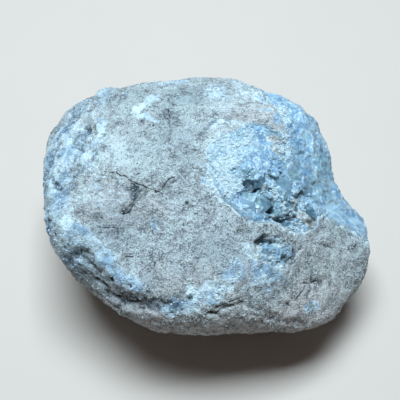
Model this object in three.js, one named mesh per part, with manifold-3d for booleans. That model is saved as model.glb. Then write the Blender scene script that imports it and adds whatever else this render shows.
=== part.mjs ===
// A celestine cluster: a cobble of pale sandy rock, broken off along its right and rear side,
// where the blue celestine that fills it shows, with a small open pocket of crystals on its
// shoulder. Millimetres. +X is to the right, +Y to the rear, +Z up. The stone rests on a small
// flat spot at z = 0, and x = y = 0 is the middle of its outer box.

import * as THREE from 'three';
import { ConvexGeometry } from 'three/addons/geometries/ConvexGeometry.js';
import { mergeVertices } from 'three/addons/utils/BufferGeometryUtils.js';
import Module from 'manifold-3d';

const wasm = await Module();
wasm.setup();

// Driving dimensions.
const MIDDLE_HEIGHT = 31; // height of the stone's middle above the flat spot it rests on
const EDGE_SHARPNESS = 14; // higher leaves the rounded edges between the stone's faces sharper
const STONE_DETAIL = 13; // subdivisions of the icosahedron that the stone is drawn out of
const ZONE_DETAIL = 5; // the same for the rounded zones that the celestine fills
const HOLLOW_DETAIL = 2; // the same for the small open hollows
const SEAT_GAP = 0.3; // clearance that is kept between two pieces that touch
const ZONE_UNEVENNESS = 0.05; // how far the zones and hollows depart from true ellipsoids
const GABLE_SHARE = 0.3; // share of a crystal's length that each of its gabled ends takes
const BROAD_SHARE = 0.86; // share of a crystal's width that its broad faces take
const RIDGE_SHARE = 0.7; // share of a crystal's thickness that the ridge of each gable takes

// The worn faces of the cobble: the compass direction and the elevation that each one looks in,
// in degrees, and its distance from the stone's middle.
const STONE_FACES = [
  { face: 'crown', azimuth: 0, elevation: 90, distance: 33 },
  { face: 'left shoulder', azimuth: 175, elevation: 62, distance: 46 },
  { face: 'rear shoulder', azimuth: 95, elevation: 64, distance: 44 },
  { face: 'front plateau', azimuth: -98, elevation: 68, distance: 34.5 },
  { face: 'broken slope', azimuth: 25, elevation: 38, distance: 55 },
  { face: 'top of the right lobe', azimuth: -32, elevation: 52, distance: 37 },
  { face: 'front', azimuth: -88, elevation: 8, distance: 55 },
  { face: 'front right', azimuth: -50, elevation: 8, distance: 69 },
  { face: 'front left', azimuth: -132, elevation: 12, distance: 60.5 },
  { face: 'left slope', azimuth: 185, elevation: 30, distance: 68 },
  { face: 'right', azimuth: 11, elevation: 7, distance: 55 },
  { face: 'right rear', azimuth: 33, elevation: 21, distance: 63.5 },
  { face: 'upper rear right', azimuth: 57, elevation: 30, distance: 51 },
  { face: 'upper rear', azimuth: 92, elevation: 35, distance: 58 },
  { face: 'upper rear left', azimuth: 108, elevation: 34, distance: 57.5 },
  { face: 'rear left corner', azimuth: 129, elevation: 28, distance: 85 },
  { face: 'left rear', azimuth: 155, elevation: 16, distance: 82 },
  { face: 'left end', azimuth: 180, elevation: 0, distance: 85 },
  { face: 'left underside', azimuth: -167, elevation: -9, distance: 61 },
  { face: 'left front corner', azimuth: -144, elevation: -23, distance: 74 },
  { face: 'front left underside', azimuth: -122, elevation: -31, distance: 49.5 },
  { face: 'front underside', azimuth: -90, elevation: -35, distance: 57 },
  { face: 'front right underside', azimuth: -57, elevation: -30, distance: 78 },
  { face: 'right underside', azimuth: -15, elevation: -10, distance: 68 },
  { face: 'rear', azimuth: 90, elevation: -5, distance: 63 },
  { face: 'rear left', azimuth: 135, elevation: -5, distance: 71 },
  { face: 'rear right', azimuth: 45, elevation: -5, distance: 63 },
  { face: 'front belly', azimuth: -95, elevation: -48, distance: 39.5 },
  { face: 'rear belly', azimuth: 90, elevation: -45, distance: 43 },
  { face: 'left belly', azimuth: 170, elevation: -45, distance: 47 },
  { face: 'right belly', azimuth: 5, elevation: -45, distance: 45 },
  { face: 'rear left belly', azimuth: 130, elevation: -38, distance: 52 },
  { face: 'rear right belly', azimuth: 45, elevation: -40, distance: 47 },
  { face: 'front right belly', azimuth: -50, elevation: -52, distance: 50 },
  { face: 'front left belly', azimuth: -140, elevation: -50, distance: 45 },
  { face: 'bottom', azimuth: 0, elevation: -90, distance: 31.8 },
];

// Rounded swellings (height above zero) and hollows (below zero) on those faces.
const STONE_SWELLINGS = [
  { at: 'corner of the rear edge', centre: [8, 46, 24], height: 1.5, width: 7 },
  { at: 'corner of the front edge', centre: [-18, -52, -4], height: 1.5, width: 8 },
  { at: 'tip of the right lobe', centre: [67, -11, -2], height: 11, width: 11 },
  { at: 'cheek of the right lobe', centre: [63, -27, -8], height: 3, width: 9 },
  { at: 'notch in the broken side', centre: [58, 8, 4], height: -7, width: 9 },
];

// The zones of the stone that are celestine and not sandy rock, as ellipsoids measured from the
// stone's middle, with half-sizes along x, y and z.
const LINING_ZONES = [
  { zone: 'broken side', centre: [54, 24, 8], half: [42, 39, 34] },
  { zone: 'white crust beside the pocket', centre: [17, -4, 25], half: [20, 19.5, 15] },
  { zone: 'foot of the pocket', centre: [28.5, -10.5, 16.5], half: [12.5, 13, 13] },
];
const LOWER_ZONES = [{ zone: 'small lower pocket', centre: [21.5, -31.5, 17.5], half: [8, 5, 5.5] }];

// Open hollows between the crystals.
const LINING_HOLLOWS = [
  { at: 'upper vug', centre: [15, -11, 30.5], half: [6, 4, 5] },
  { at: 'middle vug', centre: [20.8, -19.5, 25], half: [3.2, 3, 4] },
  { at: 'lower vug', centre: [30, -19, 20], half: [4.5, 3.5, 5] },
];
const LOWER_HOLLOWS = [{ at: 'mouth of the lower pocket', centre: [18.4, -29.8, 23], half: [4.2, 2.6, 4] }];

// The free-standing crystals: the middle of each one from the stone's middle, the direction that
// its long axis points in, its turn about that axis, how far the peak of its gable lies to one
// side, and its width, thickness and length.
const POCKET_CRYSTALS = [
  { centre: [27.0, -8.3, 23.9], azimuth: 94, elevation: 34, turn: 8, peak: 0.7, size: [5.0, 3.0, 7.8] },
  { centre: [31.8, -4.0, 22.8], azimuth: 60, elevation: 28, turn: 16, peak: -0.5, size: [3.8, 2.4, 4.8] },
  { centre: [13.6, -19.0, 25.8], azimuth: 103, elevation: 36, turn: -8, peak: 0.6, size: [5.4, 2.6, 8.6] },
  { centre: [19.2, -17.2, 24.9], azimuth: -14, elevation: -6, turn: 40, peak: 0.4, size: [4.4, 2.6, 6.0] },
  { centre: [27.4, -14.8, 21.2], azimuth: 112, elevation: 40, turn: 20, peak: -0.4, size: [3.8, 2.4, 5.0] },
  { centre: [36.6, -14.7, 16.6], azimuth: 122, elevation: 32, turn: 14, peak: 0.3, size: [3.6, 2.2, 6.2] },
  { centre: [26.6, -20.3, 17.4], azimuth: 76, elevation: 44, turn: -20, peak: 0.4, size: [4.4, 2.6, 5.8] },
  { centre: [12.0, -9.3, 27.9], azimuth: -30, elevation: -38, turn: 30, peak: 0.3, size: [3.2, 1.8, 6.2] },
  { centre: [17.8, -9.6, 27.7], azimuth: -130, elevation: -34, turn: -24, peak: -0.3, size: [3.2, 1.8, 5.6] },
];
const LOWER_CRYSTALS = [
  { centre: [18.8, -32.9, 18.7], azimuth: 98, elevation: 40, turn: 6, peak: 0.5, size: [3.8, 2.4, 5.0] },
  { centre: [22.9, -32.1, 17.0], azimuth: 78, elevation: 38, turn: -16, peak: -0.4, size: [3.4, 2.2, 4.6] },
];

const ROCK = new THREE.MeshStandardMaterial({ color: 0xa9a79c, roughness: 0.95, metalness: 0 });
const LINING = new THREE.MeshStandardMaterial({ color: 0x9cc3dc, roughness: 0.55, metalness: 0 });
const CRYSTAL = new THREE.MeshStandardMaterial({ color: 0x8fb9d6, roughness: 0.2, metalness: 0 });

const radians = THREE.MathUtils.degToRad;

function lookDirection(azimuth, elevation) {
  const level = Math.cos(radians(elevation));
  return new THREE.Vector3(
    level * Math.cos(radians(azimuth)),
    level * Math.sin(radians(azimuth)),
    Math.sin(radians(elevation)),
  );
}

// Distance from the stone's middle to its surface along a unit direction.
function stoneRadius(direction) {
  let sum = 0;
  for (const { azimuth, elevation, distance } of STONE_FACES) {
    const nearness = direction.dot(lookDirection(azimuth, elevation)) / distance;
    sum += Math.max(0, nearness) ** EDGE_SHARPNESS;
  }
  const point = direction.clone().multiplyScalar(sum ** (-1 / EDGE_SHARPNESS));
  let radius = point.length();
  for (const { centre, height, width } of STONE_SWELLINGS) {
    const away = point.distanceTo(new THREE.Vector3(...centre)) / width;
    radius += height * Math.exp(-0.5 * away * away);
  }
  return radius;
}

// A sphere whose every point is moved from radius 1 to where the given function puts it.
function drawnOut(detail, place) {
  const geometry = new THREE.IcosahedronGeometry(1, detail);
  const position = geometry.getAttribute('position');
  const vertex = new THREE.Vector3();
  for (let i = 0; i < position.count; i += 1) {
    vertex.fromBufferAttribute(position, i).normalize();
    place(vertex);
    position.setXYZ(i, vertex.x, vertex.y, vertex.z);
  }
  return geometry;
}

function solidOf(geometry) {
  geometry.deleteAttribute('normal');
  geometry.deleteAttribute('uv');
  const merged = mergeVertices(geometry, 1e-4);
  return new wasm.Manifold(new wasm.Mesh({
    numProp: 3,
    vertProperties: new Float32Array(merged.getAttribute('position').array),
    triVerts: new Uint32Array(merged.getIndex().array),
  }));
}

function geometryOf(solid) {
  const { vertProperties, triVerts } = solid.getMesh();
  const geometry = new THREE.BufferGeometry();
  geometry.setAttribute('position', new THREE.BufferAttribute(vertProperties, 3));
  geometry.setIndex(new THREE.BufferAttribute(triVerts, 1));
  return geometry;
}

// The whole stone, flattened where it rests.
function stoneSolid() {
  return solidOf(drawnOut(STONE_DETAIL, (vertex) => {
    vertex.multiplyScalar(stoneRadius(vertex));
    vertex.z = Math.max(vertex.z, -MIDDLE_HEIGHT);
  }));
}

// An uneven ellipsoid, grown by a clearance where it is used to cut a neighbour.
function blobSolid({ centre, half }, detail, clearance = 0) {
  return solidOf(drawnOut(detail, (vertex) => {
    const wave = Math.sin(5 * vertex.x + 2) + Math.sin(6 * vertex.y) + Math.sin(5 * vertex.z + 4);
    const swell = 1 + ZONE_UNEVENNESS * wave;
    vertex.set(
      centre[0] + vertex.x * (half[0] * swell + clearance),
      centre[1] + vertex.y * (half[1] * swell + clearance),
      centre[2] + vertex.z * (half[2] * swell + clearance),
    );
  }));
}

function union(solids) {
  return solids.reduce((whole, solid) => whole.add(solid));
}

// A celestine tablet: two broad faces with bevelled sides, and a lopsided gable at each end.
function crystalSolid({ centre, azimuth, elevation, turn, peak, size }, clearance = 0) {
  const [width, thickness, length] = size.map((side) => side / 2 + clearance);
  const shoulder = length * (1 - 2 * GABLE_SHARE);
  const corners = [];
  for (const end of [-1, 1]) {
    for (const side of [-1, 1]) {
      corners.push(new THREE.Vector3(side * width, 0, end * shoulder));
      corners.push(new THREE.Vector3(side * width * BROAD_SHARE, thickness, end * shoulder));
      corners.push(new THREE.Vector3(side * width * BROAD_SHARE, -thickness, end * shoulder));
      corners.push(new THREE.Vector3(end * peak * width, side * thickness * RIDGE_SHARE, end * length));
    }
  }
  const along = lookDirection(azimuth, elevation);
  const across = new THREE.Vector3(0, 0, 1).cross(along).normalize();
  const placed = new THREE.Matrix4()
    .makeBasis(across, along.clone().cross(across), along)
    .setPosition(...centre)
    .multiply(new THREE.Matrix4().makeRotationZ(radians(turn)));
  return solidOf(new ConvexGeometry(corners).applyMatrix4(placed));
}

const stone = stoneSolid();
const box = stone.boundingBox();
const cluster = new THREE.Group();
cluster.name = 'celestine_cluster';

function addPiece(name, solid, material) {
  const mesh = new THREE.Mesh(geometryOf(solid), material);
  mesh.name = name;
  mesh.position.set(
    -(box.min[0] + box.max[0]) / 2,
    -(box.min[1] + box.max[1]) / 2,
    MIDDLE_HEIGHT,
  );
  cluster.add(mesh);
}

// One mass of celestine: the part of the stone inside its zones, less its hollows and the seats
// of the crystals that stand in it.
function liningSolid(zones, hollows, crystals) {
  const mass = union(zones.map((zone) => blobSolid(zone, ZONE_DETAIL)));
  const seats = crystals.map((crystal) => crystalSolid(crystal, SEAT_GAP));
  const openings = hollows.map((hollow) => blobSolid(hollow, HOLLOW_DETAIL));
  return stone.intersect(mass).subtract(union([...openings, ...seats]));
}

function matrixSolid() {
  const zones = [...LINING_ZONES, ...LOWER_ZONES];
  const beds = zones.map((zone) => blobSolid(zone, ZONE_DETAIL, SEAT_GAP));
  const openings = LOWER_HOLLOWS.map((hollow) => blobSolid(hollow, HOLLOW_DETAIL));
  return stone.subtract(union([...beds, ...openings]));
}

function addCrystals(prefix, crystals) {
  crystals.forEach((crystal, index) => {
    addPiece(`${prefix}_${index + 1}`, crystalSolid(crystal), CRYSTAL);
  });
}

addPiece('sandy_matrix', matrixSolid(), ROCK);
addPiece('celestine_lining', liningSolid(LINING_ZONES, LINING_HOLLOWS, POCKET_CRYSTALS), LINING);
addPiece('lower_pocket_lining', liningSolid(LOWER_ZONES, LOWER_HOLLOWS, LOWER_CRYSTALS), LINING);
addCrystals('pocket_crystal', POCKET_CRYSTALS);
addCrystals('lower_pocket_crystal', LOWER_CRYSTALS);

export default cluster;
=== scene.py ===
"""A celestine cluster: a sandy cobble, broken off along one side, with blue celestine in it.

Everything is in metres, in the row's frame: +X to the right, +Y to the rear, +Z up, and the
stone's flat spot at z = 0. Sizes that a person would measure on the stone are given in
millimetres and turned into metres by MM.
"""

import logging
import math
from dataclasses import dataclass, field
from enum import Enum

import bmesh
import bpy
import numpy as np
from bpy.types import ID, Material, Node, NodeSocket, NodeTree, Object
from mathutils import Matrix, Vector
from mathutils.bvhtree import BVHTree


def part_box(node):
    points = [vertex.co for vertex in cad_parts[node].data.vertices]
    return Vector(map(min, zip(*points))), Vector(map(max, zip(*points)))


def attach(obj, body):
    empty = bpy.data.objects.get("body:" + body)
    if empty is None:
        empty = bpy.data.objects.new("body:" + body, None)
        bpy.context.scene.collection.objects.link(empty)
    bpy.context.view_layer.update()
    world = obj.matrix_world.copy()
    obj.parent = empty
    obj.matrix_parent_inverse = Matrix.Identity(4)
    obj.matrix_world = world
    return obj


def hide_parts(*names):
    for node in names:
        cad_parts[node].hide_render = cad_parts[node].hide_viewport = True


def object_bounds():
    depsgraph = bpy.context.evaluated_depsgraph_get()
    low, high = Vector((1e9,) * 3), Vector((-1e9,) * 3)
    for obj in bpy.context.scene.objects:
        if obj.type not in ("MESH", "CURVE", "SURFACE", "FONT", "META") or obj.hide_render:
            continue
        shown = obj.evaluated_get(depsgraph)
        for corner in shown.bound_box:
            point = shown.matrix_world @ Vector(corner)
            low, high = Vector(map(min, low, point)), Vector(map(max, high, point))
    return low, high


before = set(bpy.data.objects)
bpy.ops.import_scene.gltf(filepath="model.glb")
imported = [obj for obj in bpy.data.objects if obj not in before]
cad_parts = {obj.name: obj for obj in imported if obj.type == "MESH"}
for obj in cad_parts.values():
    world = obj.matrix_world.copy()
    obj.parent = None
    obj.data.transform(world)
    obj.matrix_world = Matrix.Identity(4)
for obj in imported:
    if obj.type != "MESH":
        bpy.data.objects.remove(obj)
CAD_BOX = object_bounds()

MM = 0.001
Array = np.ndarray
Place = tuple[float, float, float]
Colour = tuple[float, float, float]
log = logging.getLogger("celestine_cluster")


# ---- Patterns: repeatable noise that shapes the surfaces ----


HASH_PRIMES = (73856093, 19349663, 83492791)
SEED_FACTOR, SEED_START = 40503, 977
HASH_ROUNDS = ((15, 22462519), (13, 32669917))
HASH_MASK = np.int64(0xFFFFFFFF)
LAYER_STEP = 17  # from the seed of one layer of a pattern to the next
FAR_AWAY = 9.0  # farther than any grain's seed or crack that counts, in their own measure


def hashed(cells: Array, seed: int) -> Array:
    """Gives each whole-number cell a repeatable random number.

    Args:
        cells: whole-number cell places, with x, y and z in the last axis.
        seed: picks one pattern out of many.

    Returns:
        One number from 0 to 1 for each cell.
    """
    x, y, z = (cells[..., axis].astype(np.int64) * prime for axis, prime in enumerate(HASH_PRIMES))
    mixed = (x ^ y ^ z ^ np.int64(seed * SEED_FACTOR + SEED_START)) & HASH_MASK
    for shift, factor in HASH_ROUNDS:
        mixed = ((mixed ^ (mixed >> shift)) * factor) & HASH_MASK
    mixed ^= mixed >> 16
    return mixed / float(HASH_MASK)


def smoothstep(low: float, high: float, value: Array) -> Array:
    """Rises smoothly from 0 at low to 1 at high, or falls where low is above high."""
    part = np.clip((value - low) / (high - low), 0.0, 1.0)
    return part * part * (3.0 - 2.0 * part)


def lattice_noise(points: Array, seed: int) -> Array:
    """Smooth noise between random values on a unit lattice.

    Args:
        points: places, one row each.
        seed: picks one pattern out of many.

    Returns:
        One number from -1 to 1 for each place.
    """
    cell = np.floor(points).astype(np.int64)
    part = points - cell
    blend = part * part * part * (part * (part * 6.0 - 15.0) + 10.0)
    total = np.zeros(len(points))
    for corner in np.ndindex(2, 2, 2):
        weight = np.ones(len(points))
        for axis in range(3):
            weight *= blend[:, axis] if corner[axis] else 1.0 - blend[:, axis]
        total += weight * hashed(cell + np.array(corner), seed)
    return 2.0 * total - 1.0


@dataclass(frozen=True)
class Roughness:
    """Fractal noise: bumps of one size, with finer ones on them.

    Attributes:
        size: distance between the largest bumps, in mm.
        layers: how many sizes of bump are added, each half the size of the one before.
        seed: picks one pattern out of many.
        fade: height of each layer as a share of the one before.
        stretch: how much longer the bumps are along x, y and z.
    """

    size: float
    layers: int
    seed: int
    fade: float = 0.5
    stretch: Place = (1.0, 1.0, 1.0)

    def at(self, points: Array) -> Array:
        """Gives the noise at some places.

        Args:
            points: the places in mm, one row each.

        Returns:
            One number from about -1 to 1 for each place.
        """
        scaled = points / (self.size * np.array(self.stretch))
        total = np.zeros(len(points))
        reach = 0.0
        for layer in range(self.layers):
            share = self.fade**layer
            total += share * lattice_noise(scaled * 2.0**layer, self.seed + LAYER_STEP * layer)
            reach += share
        return total / reach

    def creases(self, points: Array) -> Array:
        """Gives 1 along thin winding lines and less away from them."""
        return 1.0 - 2.0 * np.abs(self.at(points))


@dataclass(frozen=True)
class Grains:
    """Cells round scattered seeds, as grains or crystal faces lie beside each other.

    Attributes:
        size: distance between seeds, in mm.
        seed: picks one pattern out of many.
    """

    size: float
    seed: int

    def at(self, points: Array) -> tuple[Array, Array, Array]:
        """Finds the grain that each place lies in.

        Args:
            points: places in mm, one row each.

        Returns:
            The offset from the grain's seed in grain sizes, the distance to the grain's edge
            (0 on the edge), and three random numbers from 0 to 1 that belong to the grain.
        """
        scaled = points / self.size
        cell = np.floor(scaled).astype(np.int64)
        nearest, second = np.full((2, len(points)), FAR_AWAY)
        offset = np.zeros_like(scaled)
        owner = np.zeros_like(cell)
        for step in np.ndindex(3, 3, 3):
            neighbour = cell + np.array(step) - 1
            spot = np.stack([hashed(neighbour, self.seed + axis) for axis in range(3)], axis=1)
            away = scaled - (neighbour + spot)
            distance = np.sqrt((away * away).sum(axis=1))
            closer = distance < nearest
            second = np.where(closer, nearest, np.minimum(second, distance))
            nearest = np.where(closer, distance, nearest)
            offset[closer] = away[closer]
            owner[closer] = neighbour[closer]
        tones = np.stack([hashed(owner, self.seed + 5 + axis) for axis in range(3)], axis=1)
        return offset, second - nearest, tones

    def facets(self, points: Array, slope: float) -> Array:
        """Tilts a flat facet in each grain.

        Args:
            points: places in mm, one row each.
            slope: steepness of the facets.

        Returns:
            The height of the facet at each place, in mm.
        """
        offset, _, tones = self.at(points)
        lean = 2.0 * tones - 1.0
        height = ((offset * lean).sum(axis=1) + 0.5 * (tones[:, 0] - 0.5)) * slope
        return height * self.size


# each layer of the stone's general relief, with its height in mm
GROUND = (
    (Roughness(26.0, 2, 11), 1.1),
    (Roughness(11.0, 3, 23, 0.6), 0.95),
    (Roughness(4.2, 3, 37, 0.65), 0.5),
    (Roughness(1.4, 2, 53, 0.7), 0.42),
)


def ground(points: Array) -> Array:
    """Gives the relief in mm that the rock and the edges of the celestine share."""
    return sum(height * layer.at(points) for layer, height in GROUND)


# ---- Nets: closed or cut-out surfaces of four-sided meshes ----


@dataclass(frozen=True)
class Patch:
    """A rounded area of the stone's surface.

    Attributes:
        centre: its middle, in mm.
        half: its half-sizes along x, y and z, in mm.
        softness: width of its edge as a share of its size.
        ragged: how far noise moves its edge, as a share of its size.
        ripple: size of that noise, in mm.
    """

    centre: Place
    half: Place
    softness: float = 0.35
    ragged: float = 0.3
    ripple: float = 4.0

    def distance(self, points: Array) -> Array:
        """Gives each place's distance from the middle: 1 at the edge, before noise moves it."""
        away = (points - np.array(self.centre)) / np.array(self.half)
        return np.sqrt((away * away).sum(axis=1))

    def cover(self, points: Array) -> Array:
        """Tells inside from outside.

        Args:
            points: places in mm, one row each.

        Returns:
            1 inside the area and 0 outside it, with a ragged soft edge.
        """
        distance = self.distance(points)
        if self.ragged > 0.0:
            # a pattern of its own for each place
            seed = int(sum(abs(part) for part in self.centre) * 7.0)
            distance = distance + self.ragged * Roughness(self.ripple, 3, seed).at(points)
        return smoothstep(1.0 + self.softness, 1.0 - self.softness, distance)


Areas = tuple[tuple[Patch, float], ...]


def areas(*rows: tuple) -> Areas:
    """Makes patches, each with its strength, which is the last number of its row."""
    return tuple((Patch(*row[:-1]), row[-1]) for row in rows)


def strongest(patches: Areas, points: Array) -> Array:
    """Lays some patches over each other.

    Args:
        patches: the patches, each with its strength.
        points: places in mm, one row each.

    Returns:
        The strength of the strongest patch at each place, and 0 outside them all.
    """
    result = np.zeros(len(points))
    for patch, strength in patches:
        result = np.maximum(result, strength * patch.cover(points))
    return result


def spread_directions(divisions: int, lean: Place, lean_share: float) -> tuple[Array, Array]:
    """Spreads a net of directions over a sphere, from the faces of a cube.

    Args:
        divisions: meshes along each edge of the cube.
        lean: direction in which the net is finer.
        lean_share: how much finer, from 0 to below 1.

    Returns:
        The directions, and the four knots of each mesh, anticlockwise from outside.
    """
    steps = np.tan(np.linspace(-math.pi / 4, math.pi / 4, divisions + 1))
    across, up = np.meshgrid(steps, steps, indexing="ij")
    side = divisions + 1
    index = np.arange(side * side).reshape(side, side)
    sheet = np.stack([index[:-1, :-1], index[1:, :-1], index[1:, 1:], index[:-1, 1:]], axis=-1)
    places, meshes = [], []
    for axis in range(3):
        for sign in (-1.0, 1.0):
            face = np.zeros((side, side, 3))
            face[..., axis] = sign
            face[..., (axis + 1) % 3] = across * sign
            face[..., (axis + 2) % 3] = up
            meshes.append(sheet.reshape(-1, 4) + len(places) * side * side)
            places.append(face.reshape(-1, 3))
    directions = np.concatenate(places)
    directions /= np.linalg.norm(directions, axis=1, keepdims=True)
    directions += lean_share * np.array(lean) / np.linalg.norm(lean)
    directions /= np.linalg.norm(directions, axis=1, keepdims=True)
    _, first, welded = np.unique(np.round(directions, 6), axis=0, return_index=True, return_inverse=True)
    return directions[first], welded.reshape(-1)[np.concatenate(meshes)]


@dataclass
class Net:
    """A net of four-sided meshes over the stone, closed or cut out of a closed one.

    Attributes:
        points: place of each knot, in mm.
        quads: the four knots of each mesh, anticlockwise from outside.
    """

    points: Array
    quads: Array

    def sides(self) -> Array:
        """Lists the sides of every mesh, in the direction in which the mesh runs."""
        return np.concatenate([self.quads[:, [k, (k + 1) % 4]] for k in range(4)])

    def relaxed(self, values: Array, rounds: int, where: Array | None = None) -> Array:
        """Averages values with their neighbours'.

        Args:
            values: one number, or one row of numbers, for each knot.
            rounds: how many times it is done.
            where: marks the knots that may change; all of them if left out.

        Returns:
            The averaged values.
        """
        pairs = np.unique(np.sort(self.sides(), axis=1), axis=0)
        count = np.bincount(pairs.ravel(), minlength=len(self.points))
        result = values.astype(float).copy()
        columns = result.reshape(len(result), -1)
        for _ in range(rounds):
            for k in range(columns.shape[1]):
                sums = np.bincount(pairs[:, 0], columns[pairs[:, 1], k], len(count))
                sums += np.bincount(pairs[:, 1], columns[pairs[:, 0], k], len(count))
                mean = 0.5 * (columns[:, k] + sums / np.maximum(count, 1))
                columns[:, k] = mean if where is None else np.where(where, mean, columns[:, k])
        return result

    def normals(self) -> Array:
        """Averages the directions of the meshes round each knot.

        Returns:
            The outward unit normal at each knot.
        """
        corner = self.points[self.quads]
        face = np.cross(corner[:, 2] - corner[:, 0], corner[:, 3] - corner[:, 1])
        total = np.zeros_like(self.points)
        for k in range(4):
            for axis in range(3):
                total[:, axis] += np.bincount(self.quads[:, k], face[:, axis], len(total))
        return total / np.maximum(np.linalg.norm(total, axis=1, keepdims=True), 1e-12)

    def cut(self, keep: Array) -> tuple["Net", Array]:
        """Cuts out the meshes whose knots are all kept, as one connected patch.

        Args:
            keep: marks the kept knots.

        Returns:
            The patch, and the old number of each of its knots.
        """
        quads = self.quads[keep[self.quads].all(axis=1)]
        label = np.arange(len(self.points))
        while True:
            least = label[quads].min(axis=1)
            before = label.copy()
            for k in range(4):
                np.minimum.at(label, quads[:, k], least)
            label = label[label]
            if (label == before).all():
                break
        owners, sizes = np.unique(label[quads[:, 0]], return_counts=True)
        quads = quads[label[quads[:, 0]] == owners[sizes.argmax()]]
        knots, numbered = np.unique(quads, return_inverse=True)
        return Net(self.points[knots], numbered.reshape(-1, 4)), knots

    def rim(self) -> Array:
        """Finds the open edge.

        Returns:
            The sides that only one mesh has, in the direction in which it runs.
        """
        sides = self.sides()
        key = sides[:, 0] * len(self.points) + sides[:, 1]
        reverse = sides[:, 1] * len(self.points) + sides[:, 0]
        return sides[~np.isin(key, reverse)]


def solid_tree(node: Object) -> BVHTree:
    """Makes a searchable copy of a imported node's surface."""
    places = [vertex.co.copy() for vertex in node.data.vertices]
    return BVHTree.FromPolygons(places, [tuple(face.vertices) for face in node.data.polygons])


@dataclass
class StoneSkin:
    """The smooth outer surface of the whole stone, passing over its hollows and gaps.

    Attributes:
        divisions: meshes of the net along each edge of the cube that it is spread from.
        lean: direction in which the net is finer.
        lean_share: how much finer.
        hollows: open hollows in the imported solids.
        step: height of a step beside a gap that is passed over too, in mm.
        touched: least share of a marked knot that an averaged one has.
        seat_margin: width of the strip round each crystal's seat that is passed over, in mm.
        fill_rounds: rounds of averaging that carry the skin over a hollow.
        smooth_rounds: rounds of averaging that take the facets off the whole skin.
        border_rounds: rounds of averaging that make the linings' narrow borders.
        blend_rounds: rounds that make the wide ones, where rock and celestine shade into each other.
        laid_rounds: rounds of averaging that smooth a net laid on the skin.
        share_rounds: rounds that smooth the linings' shares on it.
    """

    divisions: int = 96
    lean: Place = (0.1, -0.5, 0.8)
    lean_share: float = 0.15
    hollows: tuple[Patch, ...] = (
        Patch((15.8, -13.2, 61.5), (9.0, 6.5, 9.0), 0.01, 0.0),
        Patch((21.6, -21.7, 56.0), (5.5, 5.0, 8.0), 0.01, 0.0),
        Patch((30.8, -21.2, 51.0), (7.0, 6.0, 9.0), 0.01, 0.0),
        Patch((19.2, -32.0, 54.0), (6.0, 4.5, 6.0), 0.01, 0.0),
    )
    step: float = 0.1
    touched: float = 0.01
    seat_margin: float = 2.0
    fill_rounds: int = 500
    smooth_rounds: int = 14
    border_rounds: int = 5
    blend_rounds: int = 26
    laid_rounds: int = 4
    share_rounds: int = 3
    middle: Array = field(init=False)
    net: Net = field(init=False)
    zones: Array = field(init=False)
    tree: BVHTree = field(init=False)

    def __post_init__(self) -> None:
        """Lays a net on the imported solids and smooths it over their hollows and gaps."""
        low, high = (np.array(corner) / MM for corner in CAD_BOX)
        self.middle = (low + high) / 2.0
        directions, quads = spread_directions(self.divisions, self.lean, self.lean_share)
        radius, owner = self._measure(directions)
        net = Net(self.middle + directions * radius[:, None], quads)
        passed = self._passed_over(net, radius, owner)
        radius = net.relaxed(radius, self.fill_rounds, passed)
        radius = net.relaxed(radius, self.smooth_rounds)
        self.net = Net(self.middle + directions * radius[:, None], quads)
        shares = np.stack([owner == 1, owner == 2], axis=1).astype(float)
        borders = [net.relaxed(shares, rounds) for rounds in (self.border_rounds, self.blend_rounds)]
        self.zones = np.concatenate(borders, axis=1)
        relative = [Vector(place) for place in directions * radius[:, None]]
        self.tree = BVHTree.FromPolygons(relative, [tuple(quad) for quad in quads.tolist()])

    def _measure(self, directions: Array) -> tuple[Array, Array]:
        """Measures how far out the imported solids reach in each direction.

        Args:
            directions: unit directions from the stone's middle.

        Returns:
            The distance in mm, and which of the three solids lies outermost.
        """
        names = ("sandy_matrix", "celestine_lining", "lower_pocket_lining")
        trees = [solid_tree(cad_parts[name]) for name in names]
        far = 200.0
        radius = np.zeros(len(directions))
        owner = np.zeros(len(directions), dtype=int)
        for index, direction in enumerate(directions):
            start = Vector((self.middle + direction * far) * MM)
            for number, tree in enumerate(trees):
                hit = tree.ray_cast(start, Vector(-direction), far * MM)
                if hit[0] is not None and far - hit[3] / MM > radius[index]:
                    radius[index] = far - hit[3] / MM
                    owner[index] = number
        return radius, owner

    def _passed_over(self, net: Net, radius: Array, owner: Array) -> Array:
        """Marks the knots in hollows, crystal seats and the gaps between solids.

        Args:
            net: the net as measured.
            radius: the measured distance at each knot, in mm.
            owner: the solid at each knot.

        Returns:
            True where the skin has to be carried over.
        """
        seam = net.relaxed((owner > 0).astype(float), 1)
        passed = (seam > self.touched) & (seam < 1.0 - self.touched)
        steep = np.abs(radius - net.relaxed(radius, 3)) > self.step
        passed |= steep & (net.relaxed(passed.astype(float), 3) > self.touched)
        for hollow in self.hollows:
            passed |= hollow.cover(net.points) > 0.5
        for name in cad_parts:
            if "crystal" in name:
                low, high = (np.array(corner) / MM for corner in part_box(name))
                near = (net.points > low - self.seat_margin) & (net.points < high + self.seat_margin)
                passed |= near.all(axis=1)
        return net.relaxed(passed.astype(float), 1) > self.touched

    def laid(self, divisions: int, lean: Place, lean_share: float) -> tuple[Net, Array]:
        """Lays a new net on the skin.

        Args:
            divisions: meshes along each edge of the cube that the net is spread from.
            lean: direction in which the net is finer.
            lean_share: how much finer.

        Returns:
            The net, and at each knot the shares of the large and the lower lining, first with
            narrow borders and then with wide ones.
        """
        directions, quads = spread_directions(divisions, lean, lean_share)
        radius = np.zeros(len(directions))
        meshes = np.zeros(len(directions), dtype=int)
        for index, direction in enumerate(directions):
            _, _, meshes[index], radius[index] = self.tree.ray_cast(Vector(), Vector(direction))
        net = Net(self.middle + directions * radius[:, None], quads)
        radius = net.relaxed(radius, self.laid_rounds)
        net.points = self.middle + directions * radius[:, None]
        shares = self.zones[self.net.quads[meshes]].mean(axis=1)
        return net, net.relaxed(shares, self.share_rounds)


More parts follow.
